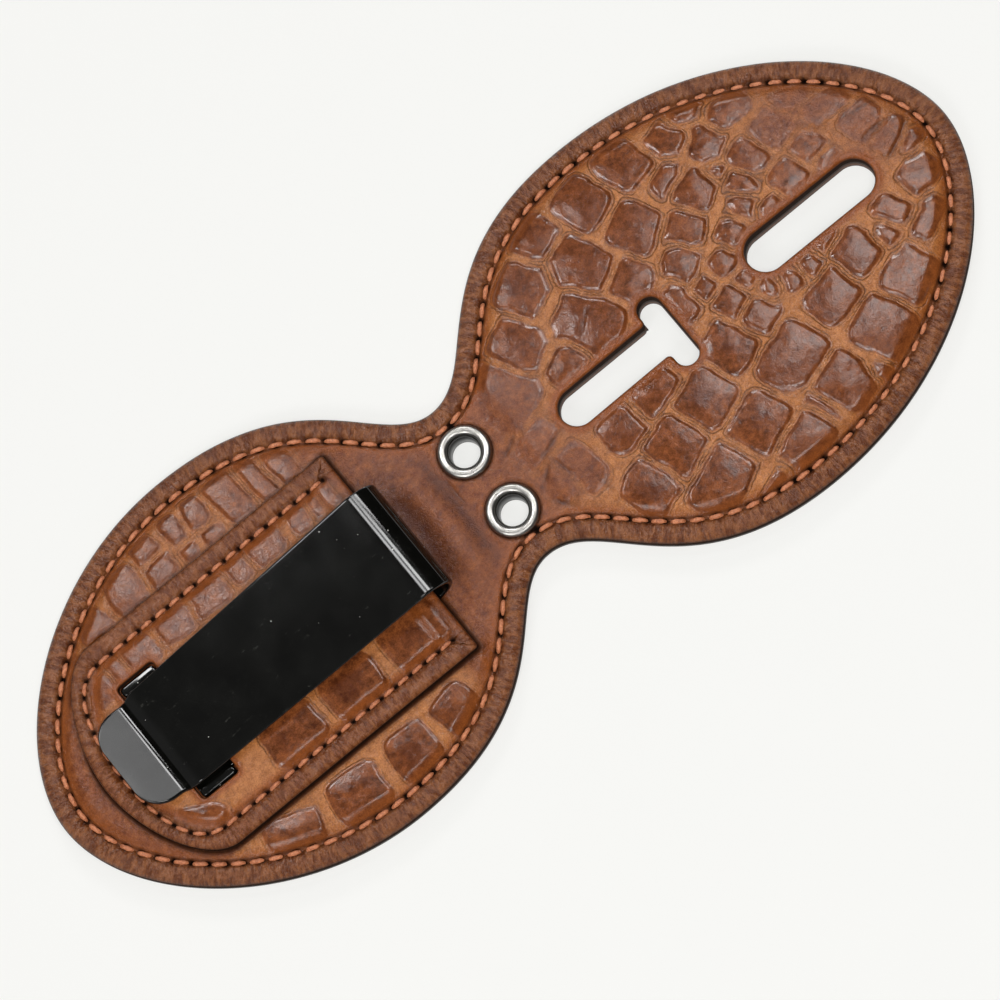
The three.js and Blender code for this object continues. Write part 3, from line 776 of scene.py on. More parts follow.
def patch_top(points):
    x, y = points.T
    edge, along = PATCH.measure(points)
    window = WINDOW.measure(points)[0]
    mouth = PATCH_HIGH[0] - x
    padded = PATCH_PADDING * ramp(edge, PATCH_STITCH_INSET, PATCH_STITCH_INSET + 2.2)
    height = PATCH_HIGH[2] - STEEL + padded + (STEEL - PATCH_PADDING) * over_plate(points) - roll(edge, 0.9)
    height += 0.3 * np.sin(math.pi * np.clip(edge / PATCH_STITCH_INSET, 0, 1)) * ramp(mouth, 1, 4)
    to_run, to_needle = patch_stitching(x, y)
    holes = bump(to_needle, 0, 0.5)
    height += (PATCH_HIGH[2] - STEEL - 0.3 - height) * bump(to_run, 0, 0.8) - 0.3 * holes

    relief, masks = emboss(x, y, PATCH_SCALES)
    from_side = np.where(mouth < 6, PATCH_HIGH[1] - np.abs(y), edge)
    field = ramp(PATCH_HIGH[1] - np.abs(y), *PATCH_SCALES_FROM_EDGE)
    field *= ramp(from_side, *PATCH_SCALES_FROM_EDGE) * ramp(window, 0.5, 1.5) * ramp(mouth, 1.0, 2.4)
    firm = 0.6 + 0.4 * ramp(y, 8, -8)
    height += (relief * 0.9 * firm - 0.1) * field
    border = 1 - ramp(from_side, PATCH_STITCH_INSET - 0.3, PATCH_STITCH_INSET + 0.3)
    ruck = noise(along, edge * 0.35, 0.7, 21) + 0.6 * noise(along + edge, edge * 0.3, 0.36, 22)
    height += 0.05 * ruck * border * ramp(edge, 0.3, 1.2) - roll(window, 0.5)

    run_start = PATCH_HIGH[0] - PATCH_STITCH_START
    on_run = ramp(mouth, run_start - 0.3, run_start + 0.2)
    by_stitches = bump(edge * ramp(mouth, 1.6, 2.6), PATCH_STITCH_INSET + 1.0, 0.8) * on_run
    masks.update({
        "field": firm * field,
        "crown": masks["crown"] * field,
        # Painted shade in a band just inside the mouth, under the clip's bend.
        "soft_painted_shade": 0.5 * bump(mouth, 1.9, 0.5),
        "border": border * 0.8,
        "burnish": np.maximum(by_stitches, bump(window, 0.4, 0.7)),
        # Painted shade in the patch's stitch line and needle holes.
        "deep_painted_shade": np.clip(0.35 * bump(to_run, 0, 0.55) + 1.2 * holes, 0, 1),
        "edge": np.maximum(1 - ramp(edge, 0.02, 0.2), 1 - ramp(window, 0.0, 0.2)),
        **edge_masks(PATCH, edge, along),
    })
    return height, masks


def patch_bottom(points):
    return LEAF_TOP + 0.02 + (STEEL + 0.25) * over_plate(points)


def make_patch():
    rings = [PATCH_RINGS, HOLE_RINGS]
    piece = slab("pocket_leather", [PATCH, WINDOW], rings, PATCH_SPACING, patch_top, patch_bottom, 0.8)
    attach(piece, "clip_leaf")
    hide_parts("pocket_patch")
    return piece


# ---- Thread ---------------------------------------------------------------------------------------


def stitches(line, closed, level, length, pitch, thickness, under=False):
    """Twisted two-ply stitches along a line of points (x, y), each dipping into its needle holes."""
    path = np.vstack([line, line[:1]]) if closed else np.array(line)
    along = np.concatenate([[0], np.cumsum(np.linalg.norm(np.diff(path, axis=0), axis=1))])
    count = round(along[-1] / pitch)
    step = along[-1] / count
    sides, stations = 10, 13
    t = np.linspace(-1, 1, stations)
    profile = np.sqrt(np.clip(1 - np.abs(t) ** 2.2, 0.02, 1))
    dive = STITCH_DIVE * np.abs(t) ** 4
    angles = np.linspace(0, 2 * math.pi, sides, endpoint=False)
    flip = -1 if under else 1
    vertices, faces = [], []
    for number in range(count):
        places = (number + 0.5) * step + t * length / 2 * (step / pitch)
        centre = np.stack([np.interp(places, along, path[:, i]) for i in (0, 1)], axis=1)
        ahead = centre[-1] - centre[0]
        ahead /= np.linalg.norm(ahead)
        side = np.array([-ahead[1], ahead[0]])
        jitter = 0.018 * math.sin(number * 7.3)
        tube = tube_faces(len(vertices), stations, sides)
        faces += [face[::-1] for face in tube] if under else tube
        for station in range(stations):
            twist = angles - t[station] * STITCH_TWIST + number
            radius = thickness * profile[station] * (1 + 0.08 * np.cos(2 * twist))
            flat = centre[station] + side * t[station] * STITCH_SLANT
            for angle, r in zip(angles, radius):
                x, y = flat + side * math.cos(angle) * r
                rise = jitter - dive[station] + math.sin(angle) * r * 0.8
                vertices.append((x, y, level + flip * rise))
    return vertices, faces


def join_parts(name, parts):
    """One object from several lists of vertices and faces."""
    vertices, faces = [], []
    for part_vertices, part_faces in parts:
        base = len(vertices)
        vertices += part_vertices
        faces += [tuple(i + base for i in face) for face in part_faces]
    return make_mesh(name, vertices, faces)


def make_edge_thread():
    line = OUTLINE.offset(STITCH_INSET)
    piece = join_parts("edge_thread", [
        stitches(line, True, BORDER_TOP - 0.06, **EDGE_STITCH),
        stitches(line, True, LINING_BOTTOM + 0.12, **EDGE_STITCH, under=True),
    ])
    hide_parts("edge_thread_badge", "edge_thread_clip")
    return piece


def make_patch_thread():
    level = PATCH_HIGH[2] - STEEL - 0.04
    piece = join_parts("pocket_thread", [stitches(PATCH_RUN, False, level, **PATCH_STITCH)])
    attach(piece, "clip_leaf")
    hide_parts("patch_thread")
    return piece


# ---- Hook and loop pads ---------------------------------------------------------------------------

SELVAGE = 0.4
PAD_STITCH_INSET = 0.9
PAD_CORNER = 1.0
FIBRE_INSET = 2.0
FIBRE_PITCH = 0.85
FIBRE_RADIUS = 0.055
HOOK_REACH = 0.19
LOOP_REACH = 0.3


def hook_line():
    """A hook as (sideways, depth) with depth from 0 at the tape to 1 at the lowest allowed point."""
    arc = np.linspace(0, 1.25 * math.pi, 6)
    return [(0, 0)] + [(HOOK_REACH * (1 - math.cos(a)), 0.68 + 0.26 * math.sin(a)) for a in arc]


def loop_line():
    """A loop in the same form, with both ends at the tape."""
    return [(LOOP_REACH * (1 - math.cos(a)), 0.94 * math.sin(a)) for a in np.linspace(0, math.pi, 7)]


def fibres(low, high, line, seed):
    """Fibres that hang from a tape on a jittered grid, each a bent line in its own upright plane."""
    chance = np.random.default_rng(seed)
    columns = np.arange(low[0] + FIBRE_INSET, high[0] - FIBRE_INSET, FIBRE_PITCH)
    rows = np.arange(low[1] + FIBRE_INSET, high[1] - FIBRE_INSET, FIBRE_PITCH)
    root = high[2] - SELVAGE
    drop = root - low[2]
    sides = 4
    section = [(math.cos(2 * math.pi * i / sides), math.sin(2 * math.pi * i / sides)) for i in range(sides)]
    vertices, faces = [], []
    for x, y in ((x, y) for x in columns for y in rows):
        turn = chance.uniform(0, 2 * math.pi)
        ahead = np.array([math.cos(turn), math.sin(turn), 0])
        across = np.array([-ahead[1], ahead[0], 0])
        start = np.array([x, y, root]) + ahead * chance.uniform(-0.15, 0.15)
        path = np.array([start + ahead * along - (0, 0, depth * drop) for along, depth in line])
        forward = np.gradient(path, axis=0)
        forward /= np.linalg.norm(forward, axis=1)[:, None]
        faces += tube_faces(len(vertices), len(path), sides)
        for point, direction in zip(path, forward):
            up = np.cross(direction, across)
            vertices += [tuple(point + FIBRE_RADIUS * (out * across + lift * up)) for out, lift in section]
    return vertices, faces


def make_pad(node, name, body, line, seed):
    low, high = node_box(node)
    tape = rounded_block(low[0], high[0], low[1], high[1], high[2] - SELVAGE, high[2], PAD_CORNER, 0.06)
    piece = join_parts(name, [tape, fibres(low, high, line, seed)])
    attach(piece, body)
    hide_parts(node)
    return piece


def make_pad_thread(node, name, body):
    low, high = node_box(node)
    x0, y0 = low[:2] + PAD_STITCH_INSET
    x1, y1 = high[:2] - PAD_STITCH_INSET
    line = rounded_rectangle(x0, x1, y0, y1, 0.5)
    level = high[2] - SELVAGE + 0.05
    piece = join_parts(name, [stitches(line, True, level, **PAD_STITCH, under=True)])
    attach(piece, body)
    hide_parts(f"{node}_thread")
    return piece


# ---- Belt clip ------------------------------------------------------------------------------------


def strip(stations, thickness, rounding=0.4):
    """A bent strip across Y from stations (x, z, half width), with rounded long edges."""
    centre = np.array([(x, z) for x, z, _ in stations])
    half = np.array([h for _, _, h in stations])
    ahead = np.gradient(centre, axis=0)
    ahead /= np.linalg.norm(ahead, axis=1)[:, None]
    normal = np.stack([-ahead[:, 1], ahead[:, 0]], axis=1)
    turns = np.linspace(0, math.pi / 2, 5)
    inner = thickness / 2 - rounding
    support = 0.04
    section = []
    for corner_y, corner_n, start in ((1, -1, -1), (1, 1, 0), (-1, 1, 1), (-1, -1, 2)):
        spots = []
        for turn in turns:
            angle = start * math.pi / 2 + turn
            spots.append([math.cos(angle) * rounding, corner_n * inner + math.sin(angle) * rounding])
        first, last = list(spots[0]), list(spots[-1])
        if start in (-1, 1):
            first[0] -= corner_y * support
            last[1] -= corner_n * support
        else:
            first[1] -= corner_n * support
            last[0] -= corner_y * support
        section += [(corner_y, out, up) for out, up in [first, *spots, last]]
    vertices = []
    for (cx, cz), (nx, nz), width in zip(centre, normal, half):
        for corner_y, out, up in section:
            y = corner_y * (width - rounding) + out
            vertices.append((cx + nx * up, y, cz + nz * up))
    return vertices, tube_faces(0, len(stations), len(section))


def bend(half, steps=44):
    """From the base plate round to the arm: a round lower half and a flatter upper half."""
    end = math.pi / 2 + math.atan(math.tan(ARM_SLOPE) * BEND_CREST_REACH / BEND_RADIUS)
    outermost = BEND_X + BEND_RADIUS
    stations = []
    for angle in np.linspace(-math.pi / 2 + 0.1, end, steps):
        reach = BEND_RADIUS if angle < 0 else BEND_CREST_REACH
        x = outermost - reach * (1 - math.cos(angle))
        stations.append((x, BEND_Z + BEND_RADIUS * math.sin(angle), half))
    return stations


def rounded_profile(corners, steps=7):
    """(x, z, half) points with each inner corner, given as (x, z, half, radius), rounded."""
    points = [corners[0][:3]]
    for before, here, after in zip(corners, corners[1:], corners[2:]):
        p, a, b = (np.array(c[:3], float) for c in (here, before, after))
        radius = here[3]
        start = p + (a - p) / np.linalg.norm(a - p) * radius
        end = p + (b - p) / np.linalg.norm(b - p) * radius
        for t in np.linspace(0, 1, steps):
            points.append(tuple(start * (1 - t) ** 2 + 2 * p * t * (1 - t) + end * t * t))
    points.append(corners[-1][:3])
    return points


def close_up(stations, longest=1.0):
    """The same stations with more between them, so that flat stretches shade flat."""
    closer = [stations[0]]
    for before, here in zip(stations, stations[1:]):
        before, here = np.array(before), np.array(here)
        steps = max(1, math.ceil(np.linalg.norm(here - before) / longest))
        closer += [tuple(before + (here - before) * step / steps) for step in range(1, steps + 1)]
    return closer


def make_clip_arm():
    """The U-bend, arm, nose and lip. The bend's lower end stays with the base plate."""
    over = bend(ARM_HALF)
    lip_slope = (LIP_END[1] - ROLL[1]) / (ROLL[0] - LIP_END[0])
    lip_start = (LIP_END[0] + LIP_CORNER, LIP_END[1] - LIP_CORNER * lip_slope)
    profile = rounded_profile([
        over[-1] + (0,), (*ARM_END, ARM_HALF_AT_NOSE, 0.5), (*NOSE, LIP_HALF + 0.3, 0.3),
        (*ROLL, LIP_HALF, 0.5), (*lip_start, LIP_HALF, 0.4),
    ])
    corner = []
    lip_run = np.array(LIP_END) - ROLL
    lip_ahead = lip_run / np.linalg.norm(lip_run)
    for turn in np.linspace(0, math.pi / 2 * 0.93, 14)[1:]:
        spot = np.array(LIP_END) - lip_ahead * LIP_CORNER * (1 - math.sin(turn))
        corner.append((spot[0], spot[1], LIP_HALF - LIP_CORNER * (1 - math.cos(turn))))
    piece = join_parts("spring_arm", [strip(close_up(over[:-1] + profile + corner), STEEL)])
    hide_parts("clip_arm")
    return piece


def rounded_block(x0, x1, y0, y1, z0, z1, corner, edge):
    """A block with round corners and a rounded upper edge."""
    arc = np.linspace(0, math.pi / 2, 5)
    levels = [(0, z0)] + [(edge * (1 - math.cos(a)), z1 - edge * (1 - math.sin(a))) for a in arc]
    vertices = []
    count = None
    for inset, z in levels:
        ring = rounded_rectangle(x0 + inset, x1 - inset, y0 + inset, y1 - inset, max(corner - inset, 0.05))
        count = count or len(ring)
        places = np.linspace(0, len(ring), count, endpoint=False)
        closed = np.vstack([ring, ring[:1]])
        x, y = (np.interp(places, range(len(closed)), closed[:, i]) for i in (0, 1))
        vertices += list(zip(x, y, [z] * count))
    return vertices, tube_faces(0, len(levels), count)


def make_clip_base():
    """The base plate inside the pocket, with an ear on each side that shows in the window."""
    plate_z = LEAF_TOP + STEEL / 2
    stations = [(x, plate_z, PLATE_HALF) for x in np.linspace(EARS["start"], BEND_X + 0.3, 24)]
    parts = [strip(close_up(stations[::-1]), STEEL)]
    for side in (1, -1):
        low, high = sorted((side * (PLATE_HALF - 0.35), side * EARS["half"]))
        top = LEAF_TOP + EARS["height"]
        parts.append(rounded_block(EARS["start"], EARS["end"], low, high, LEAF_TOP, top,
                                   EARS["corner"], EARS["rounding"]))
    piece = join_parts("base_plate", parts)
    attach(piece, "clip_leaf")
    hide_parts("clip_base")
    return piece


# ---- Eyelets --------------------------------------------------------------------------------------


def eyelet_profile(low, crest):
    """Points (radius, z) round the section: up the bore, over the rolled flange and down the barrel."""
    seat = BORDER_TOP + 0.02
    bore, barrel, top, flare = (EYELET[key] for key in ("bore", "barrel", "crest", "flare"))
    curl, curl_height = EYELET["curl"], EYELET["curl_height"]
    profile = [(bore, low + 0.25), (bore, seat - 1.6), (2.62, seat - 0.7), (2.95, seat + 0.1)]
    profile += [(top - curl * math.cos(a), crest - curl_height + curl_height * math.sin(a))
                for a in np.linspace(0.15, math.pi / 2, 8)]
    profile += [(top + (FLANGE_RADIUS - top) * math.sin(a), seat + (crest - seat) * math.cos(a))
                for a in np.linspace(0.2, math.pi / 2, 9)]
    profile += [(FLANGE_RADIUS - 0.12, seat), (barrel, seat), (barrel, low + 0.3), (flare, low + 0.2)]
    return profile + [(flare, low), (barrel + 0.15, low), (bore + 0.1, low + 0.1)]


def make_eyelet(name, side, steps=72):
    """A rolled flange with a barrel that flares out again under the lining."""
    low, high = node_box(name)
    profile = eyelet_profile(low[2], high[2])
    count = len(profile)
    vertices, faces = [], []
    for i in range(steps):
        angle = 2 * math.pi * i / steps
        vertices += [(r * math.cos(angle), side * EYELET_Y + r * math.sin(angle), z) for r, z in profile]
        here, after = i * count, (i + 1) % steps * count
        for j in range(count):
            above = (j + 1) % count
            faces.append((here + j, here + above, after + above, after + j))
    piece = make_mesh(f"rolled_{name}", vertices, faces, math.radians(40))
    inside = [radius < EYELET_HOLE for radius, _ in profile]
    # The throat inside the hole is where the nickel gets its painted shade.
    add_masks(piece, {"painted_throat_shade": inside * steps})
    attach(piece, "badge_leaf")
    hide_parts(name)
    return piece


# ---- Materials ------------------------------------------------------------------------------------


def linear(red, green, blue):
    """A colour given as 0-255 screen values, as the shader wants it."""
    values = [v / 255 for v in (red, green, blue)]
    return tuple(v / 12.92 if v <= 0.04045 else ((v + 0.055) / 1.055) ** 2.4 for v in values) + (1.0,)


class Material:
    """A node material in the making."""

    def __init__(self, name):
        self.material = bpy.data.materials.new(name)
        self.material.use_nodes = True
        self.nodes = self.material.node_tree.nodes
        self.links = self.material.node_tree.links
        self.shader = self.nodes["Principled BSDF"]
        self.mm = self.vector("SCALE", self.node("ShaderNodeTexCoord").outputs["Object"], 1 / MM)

    def feed(self, socket, value):
        if isinstance(value, bpy.types.NodeSocket):
            self.links.new(value, socket)
        else:
            socket.default_value = value

    def node(self, kind, **settings):
        node = self.nodes.new(kind)
        for key, value in settings.items():
            setattr(node, key, value)
        return node

    def vector(self, operation, vector, value):
        node = self.node("ShaderNodeVectorMath", operation=operation)
        self.feed(node.inputs[0], vector)
        self.feed(node.inputs["Scale"] if operation == "SCALE" else node.inputs[1], value)
        return node.outputs[0]

    def math(self, operation, a, b=0.0):
        node = self.node("ShaderNodeMath", operation=operation)
        self.feed(node.inputs[0], a)
        self.feed(node.inputs[1], b)
        return node.outputs[0]

    def times(self, a, b):
        return self.math("MULTIPLY", a, b)

    def mix(self, factor, a, b):
        node = self.node("ShaderNodeMix", data_type="RGBA")
        for socket, value in ((0, factor), (6, a), (7, b)):
            self.feed(node.inputs[socket], value)
        return node.outputs[2]

    def tones(self, value, low, high, first, second):
        """From the first colour at low to the second at high, both as 0-255 screen values."""
        return self.mix(self.span(value, low, high), linear(*first), linear(*second))

    def mask(self, name):
        return self.node("ShaderNodeAttribute", attribute_name=name).outputs["Fac"]

    def texture(self, kind, spot, size, **settings):
        node = self.node(f"ShaderNodeTex{kind}")
        self.feed(node.inputs["Vector"], spot)
        for name, value in {"Scale": 1 / size, **settings}.items():
            node.inputs[name].default_value = value
        return node.outputs

    def noise(self, size, detail=3.0, roughness=0.55, stretch=None, distortion=0.0):
        """Noise with lumps about size millimetres across."""
        spot = self.vector("MULTIPLY", self.mm, stretch) if stretch else self.mm
        settings = {"Detail": detail, "Roughness": roughness, "Distortion": distortion}
        return self.texture("Noise", spot, size, **settings)["Fac"]

    def wrinkles(self, size, stretch):
        """Noise in ridges that run square to the edge of the piece."""
        across = self.times(self.mask("inset"), stretch)
        spot = self.node("ShaderNodeCombineXYZ")
        for socket, value in zip(spot.inputs, (self.mask("ring_x"), self.mask("ring_y"), across)):
            self.feed(socket, value)
        return self.texture("Noise", spot.outputs[0], size, Detail=3.0, Roughness=0.6)["Fac"]

    def cells(self, size):
        return self.texture("Voronoi", self.mm, size)["Distance"]

    def span(self, value, low, high, to_low=0.0, to_high=1.0):
        """Maps low..high to to_low..to_high, clamped."""
        node = self.node("ShaderNodeMapRange")
        for socket, number in zip(node.inputs[1:5], (low, high, to_low, to_high)):
            socket.default_value = number
        self.feed(node.inputs[0], value)
        return node.outputs[0]

    def band(self, value, middle, width):
        """1 where the value is at the middle, 0 beyond the width."""
        gap = self.math("ABSOLUTE", self.math("SUBTRACT", value, middle))
        return self.span(gap, 0.0, width, 1.0, 0.0)

    def bump(self, height, depth, before=None):
        """Adds relief of that depth in millimetres."""
        node = self.node("ShaderNodeBump")
        node.inputs["Strength"].default_value = 1.0
        node.inputs["Distance"].default_value = depth * MM
        self.feed(node.inputs["Height"], height)
        if before is not None:
            self.feed(node.inputs["Normal"], before)
        return node.outputs["Normal"]

    def finish(self, **inputs):
        for name, value in inputs.items():
            self.feed(self.shader.inputs[name.replace("_", " ")], value)
        return self.material


def leather_colour(m, scale, mottle, speck, cloud, wrinkles, line):
    """Brown scales over tan valleys, then borders, burnish, creases, painted shade in troughs, specks,
    near-black painted shade in holes and grooves, and raw edges.
    """
    scale_colour = m.tones(mottle, 0.33, 0.67, (72, 35, 16), (144, 80, 40))
    dark_middle = m.times(m.mask("crown"), m.span(cloud, 0.42, 0.6, 0.0, 0.7))
    scale_colour = m.mix(dark_middle, scale_colour, linear(76, 34, 15))
    scale_colour = m.mix(m.times(m.mask("tint"), 0.35), scale_colour, linear(102, 51, 22))
    valley_colour = m.tones(mottle, 0.3, 0.7, (138, 82, 40), (190, 122, 68))
    plain_colour = m.tones(mottle, 0.3, 0.7, (88, 40, 16), (146, 82, 40))
    colour = m.mix(m.mask("field"), plain_colour, m.mix(scale, valley_colour, scale_colour))
    layers = (
        # The border's colour follows its wrinkles, lighter on the crests and darker between them: painted
        # highlights and painted shade.
        (m.times(m.mask("border"), 0.9), m.tones(wrinkles, 0.4, 0.6, (90, 46, 22), (136, 84, 50))),
        (m.times(m.mask("burnish"), m.span(cloud, 0.35, 0.6, 0.4, 0.85)), linear(140, 74, 30)),
        (m.times(line, 0.85), linear(58, 26, 10)),
        # Painted shade in the neck's troughs and under the clip's bend.
        (m.times(m.mask("soft_painted_shade"), 0.85), linear(66, 26, 9)),
        (m.span(speck, 0.38, 0.6, 0.35, 0.0), linear(48, 22, 10)),
        # Near-black painted shade in needle holes, stitch grooves, round the eyelets and a painted shadow
        # round the patch.
        (m.mask("deep_painted_shade"), linear(10, 4, 2)),
        (m.mask("edge"), linear(44, 30, 22)),
    )
    for amount, layer in layers:
        colour = m.mix(amount, colour, layer)
    return colour


def leather_material():
    """Waxed crocodile-embossed leather: brown scales, tan valleys, wrinkled borders, burnished edges."""
    m = Material("embossed_leather")
    cloud = m.noise(7.0, 4.0, 0.6)
    mottle = m.noise(1.5, 5.0, 0.7)
    speck = m.noise(0.26, 3.0, 0.65)
    wrinkles = m.wrinkles(0.85, 0.4)
    field = m.mask("field")
    depth = m.math("ADD", m.mask("depth"), m.span(m.noise(0.9, 3.0), 0.3, 0.7, -0.07, 0.07))
    scale = m.span(depth, -0.2, 0.15)
    crease = m.times(m.band(depth, -0.26, 0.17), m.times(field, m.span(cloud, 0.42, 0.56, 0.15, 0.95)))
    line = m.math("MAXIMUM", crease, m.mask("crease"))

    dull = m.math("MAXIMUM", m.mask("edge"), m.mask("deep_painted_shade"))
    roughness = m.math("MAXIMUM", m.span(mottle, 0.3, 0.7, 0.15, 0.23), m.times(dull, 0.75))
    loose = m.math("SUBTRACT", 1.0, m.times(field, scale))
    strokes = m.noise(0.6, 3.0, 0.6, stretch=(0.28, 1.0, 1.0))
    normal = None
    for height, relief in (
        (speck, 0.022),
        (m.noise(0.8, 3.0, 0.6, distortion=0.8), 0.04),
        (m.times(m.noise(0.8, 4.0, 0.65, distortion=1.4), loose), 0.18),
        (m.math("SUBTRACT", 1.0, line), 0.09),
        (m.times(wrinkles, m.mask("border")), 0.65),
        (m.times(strokes, m.mask("neck")), 0.1),
    ):
        normal = m.bump(height, relief, normal)
    rim = m.times(m.band(depth, 0.35, 0.35), field)
    shine = m.times(m.span(dull, 0.0, 1.0, 0.36, 0.03), m.span(rim, 0.0, 1.0, 1.0, 2.4))
    colour = leather_colour(m, scale, mottle, speck, cloud, wrinkles, line)
    return m.finish(Base_Color=colour, Roughness=roughness, Normal=normal, IOR=1.46, Specular_IOR_Level=shine)


def lining_material():
    m = Material("lining_leather")
    mottle = m.noise(2.0, 4.0, 0.6)
    colour = m.mix(m.mask("edge"), m.tones(mottle, 0.3, 0.7, (92, 54, 32), (120, 74, 46)), linear(50, 38, 32))
    normal = m.bump(m.noise(0.5, 4.0, 0.7), 0.08)
    return m.finish(Base_Color=colour, Roughness=m.span(mottle, 0.3, 0.7, 0.55, 0.75), Normal=normal)


def fibrous_material(name, grain, colours, roughness, relief, colour_span=(0.0, 1.0)):
    """A material in two tones of one grain of noise, with two roughnesses and a relief in millimetres."""
    m = Material(name)
    fibre = m.noise(*grain)
    return m.finish(Base_Color=m.tones(fibre, *colour_span, *colours),
                    Roughness=m.span(fibre, 0.3, 0.7, *roughness), Normal=m.bump(fibre, relief))


def board_material():
    return fibrous_material("fibre_board", grain=(0.6, 4.0, 0.7, (0.3, 0.3, 1.0)),
                            colours=((44, 30, 22), (66, 48, 36)), roughness=(0.7, 0.9), relief=0.1)


def thread_material():
    return fibrous_material("waxed_thread", grain=(0.35, 3.0, 0.6), colours=((140, 76, 44), (202, 130, 90)),
                            roughness=(0.5, 0.7), relief=0.06, colour_span=(0.3, 0.7))


def nickel_material():
    """Worn nickel plate, with near-black painted shade in the throat of the eyelets."""
    m = Material("nickel")
    wear = m.noise(1.2, 4.0, 0.6)
    plate = m.tones(wear, 0.4, 0.7, (172, 170, 166), (150, 148, 142))
    # Near-black painted shade in the eyelets' throat.
    colour = m.mix(m.mask("painted_throat_shade"), plate, linear(16, 14, 11))
    return m.finish(Base_Color=colour, Metallic=1.0, Roughness=m.span(wear, 0.3, 0.7, 0.27, 0.36),
                    Normal=m.bump(m.noise(0.7, 2.0), 0.004))


def clip_material():
    """Glossy black enamel on steel, with dust and faint scuffs."""
    m = Material("black_enamel")
    cloud = m.noise(6.0, 3.0, 0.6)
    dust = m.times(m.span(m.cells(2.5), 0.05, 0.03), m.span(m.noise(6.0, 1.0), 0.34, 0.46, 0.0, 0.6))
    scuff = m.span(m.noise(0.9, 5.0, 0.75, stretch=(0.4, 1.0, 1.0)), 0.62, 0.72, 0.0, 0.12)
    colour = m.tones(cloud, 0.3, 0.7, (2, 2, 1), (9, 9, 7))
    colour = m.mix(scuff, colour, linear(120, 120, 112))
    colour = m.mix(dust, colour, linear(225, 225, 215))
    roughness = m.math("ADD", m.span(cloud, 0.3, 0.7, 0.07, 0.11), m.times(dust, 0.5))
    return m.finish(Base_Color=colour, Roughness=roughness, Normal=m.bump(m.noise(5.0, 2.0), 0.006), IOR=1.52)


def tape_material():
    return fibrous_material("woven_tape", grain=(0.4, 3.0, 0.7), colours=((22, 18, 15), (48, 41, 36)),
                            roughness=(0.85, 0.98), relief=0.2)


def floor_material():
    """White paper that gives off some light of its own, so that it is as white in gaps as elsewhere."""
    m = Material("paper")
    fibre = m.noise(30.0, 4.0, 0.6)
    colour = m.mix(fibre, linear(122, 122, 121), linear(128, 128, 127))
    return m.finish(Base_Color=colour, Roughness=m.span(fibre, 0.3, 0.7, 0.85, 0.95),
                    Emission_Color=(1.0, 1.0, 0.97, 1.0), Emission_Strength=0.66)


def dress(piece, material):
    piece.data.materials.clear()
    piece.data.materials.append(material)


def dress_node(node, material):
    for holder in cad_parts[node].material_slots:
        holder.material = material


# ---- Stage, light and camera ----------------------------------------------------------------------

# The camera looks down on this point of the frame, turned by these degrees about each axis.
AIM = (-3.93, -3.73, 4.0)
CAMERA_TURNS = {"Z": 39.38, "Y": 1.02, "X": -14.2}
CAMERA_DISTANCE = 0.9
PICTURE_WIDTH = 0.16935
SENSOR_WIDTH = 36
FLOOR_REACH = 3.0

# Ceiling panels: from and to along x, then along y, in degrees from straight up; distance; radiance.
LIGHTS = {
    "ceiling": ((7.5, 14, 12.5, 17), 1.0, 12),
    "ceiling_gap": ((14.2, 18.8, 11, 20), 1.0, 2.6),
    "ceiling_strip": ((19, 27, 12.5, 17), 1.0, 14),
    "back": ((18, 40, 42, 52), 0.9, 16),
    "side": ((-46, -24, -38, -16), 1.0, 8),
    "glint": ((-7, 7, -22, -13), 1.1, 16),
    "key": ((-11, 11, -24, -7), 1.1, 15),
    "sheen_tip": ((14.8, 33.4, -0.9, 10.4), 0.25, 10),
    "sheen_corner": ((23.7, 33.4, 18.6, 22.2), 0.25, 16),
    "sheen_pocket": ((-21.8, -5.7, 20.2, 32.6), 0.25, 20),
}
# The tent round the stage is lighter on its low x side.
TENT = {"from_x": -0.9, "to_x": 0.5, "from_light": 0.24, "to_light": 0.03}


def make_camera():
    data = bpy.data.cameras.new("camera")
    data.sensor_width = SENSOR_WIDTH
    data.lens = SENSOR_WIDTH * CAMERA_DISTANCE / PICTURE_WIDTH
    data.clip_start = 0.01
    camera = bpy.data.objects.new("camera", data)
    bpy.context.collection.objects.link(camera)
    turns = [Matrix.Rotation(math.radians(angle), 3, axis) for axis, angle in CAMERA_TURNS.items()]
    turn = (turns[0] @ turns[1] @ turns[2]).transposed()
    spot = Vector([value * MM for value in AIM]) + turn @ Vector((0, 0, CAMERA_DISTANCE))
    camera.matrix_world = Matrix.Translation(spot) @ turn.to_4x4()
    bpy.context.scene.camera = camera


def softbox(name, angles, distance, radiance):
    """A ceiling panel that spans the given angles."""
    spans = [math.tan(math.radians(angle)) * distance for angle in angles]
    data = bpy.data.lights.new(name, "AREA")
    data.shape = "RECTANGLE"
    data.size = spans[1] - spans[0]
    data.size_y = spans[3] - spans[2]
    data.energy = radiance * math.pi * data.size * data.size_y
    light = bpy.data.objects.new(name, data)
    bpy.context.collection.objects.link(light)
    light.location = ((spans[0] + spans[1]) / 2, (spans[2] + spans[3]) / 2, distance)
    return light


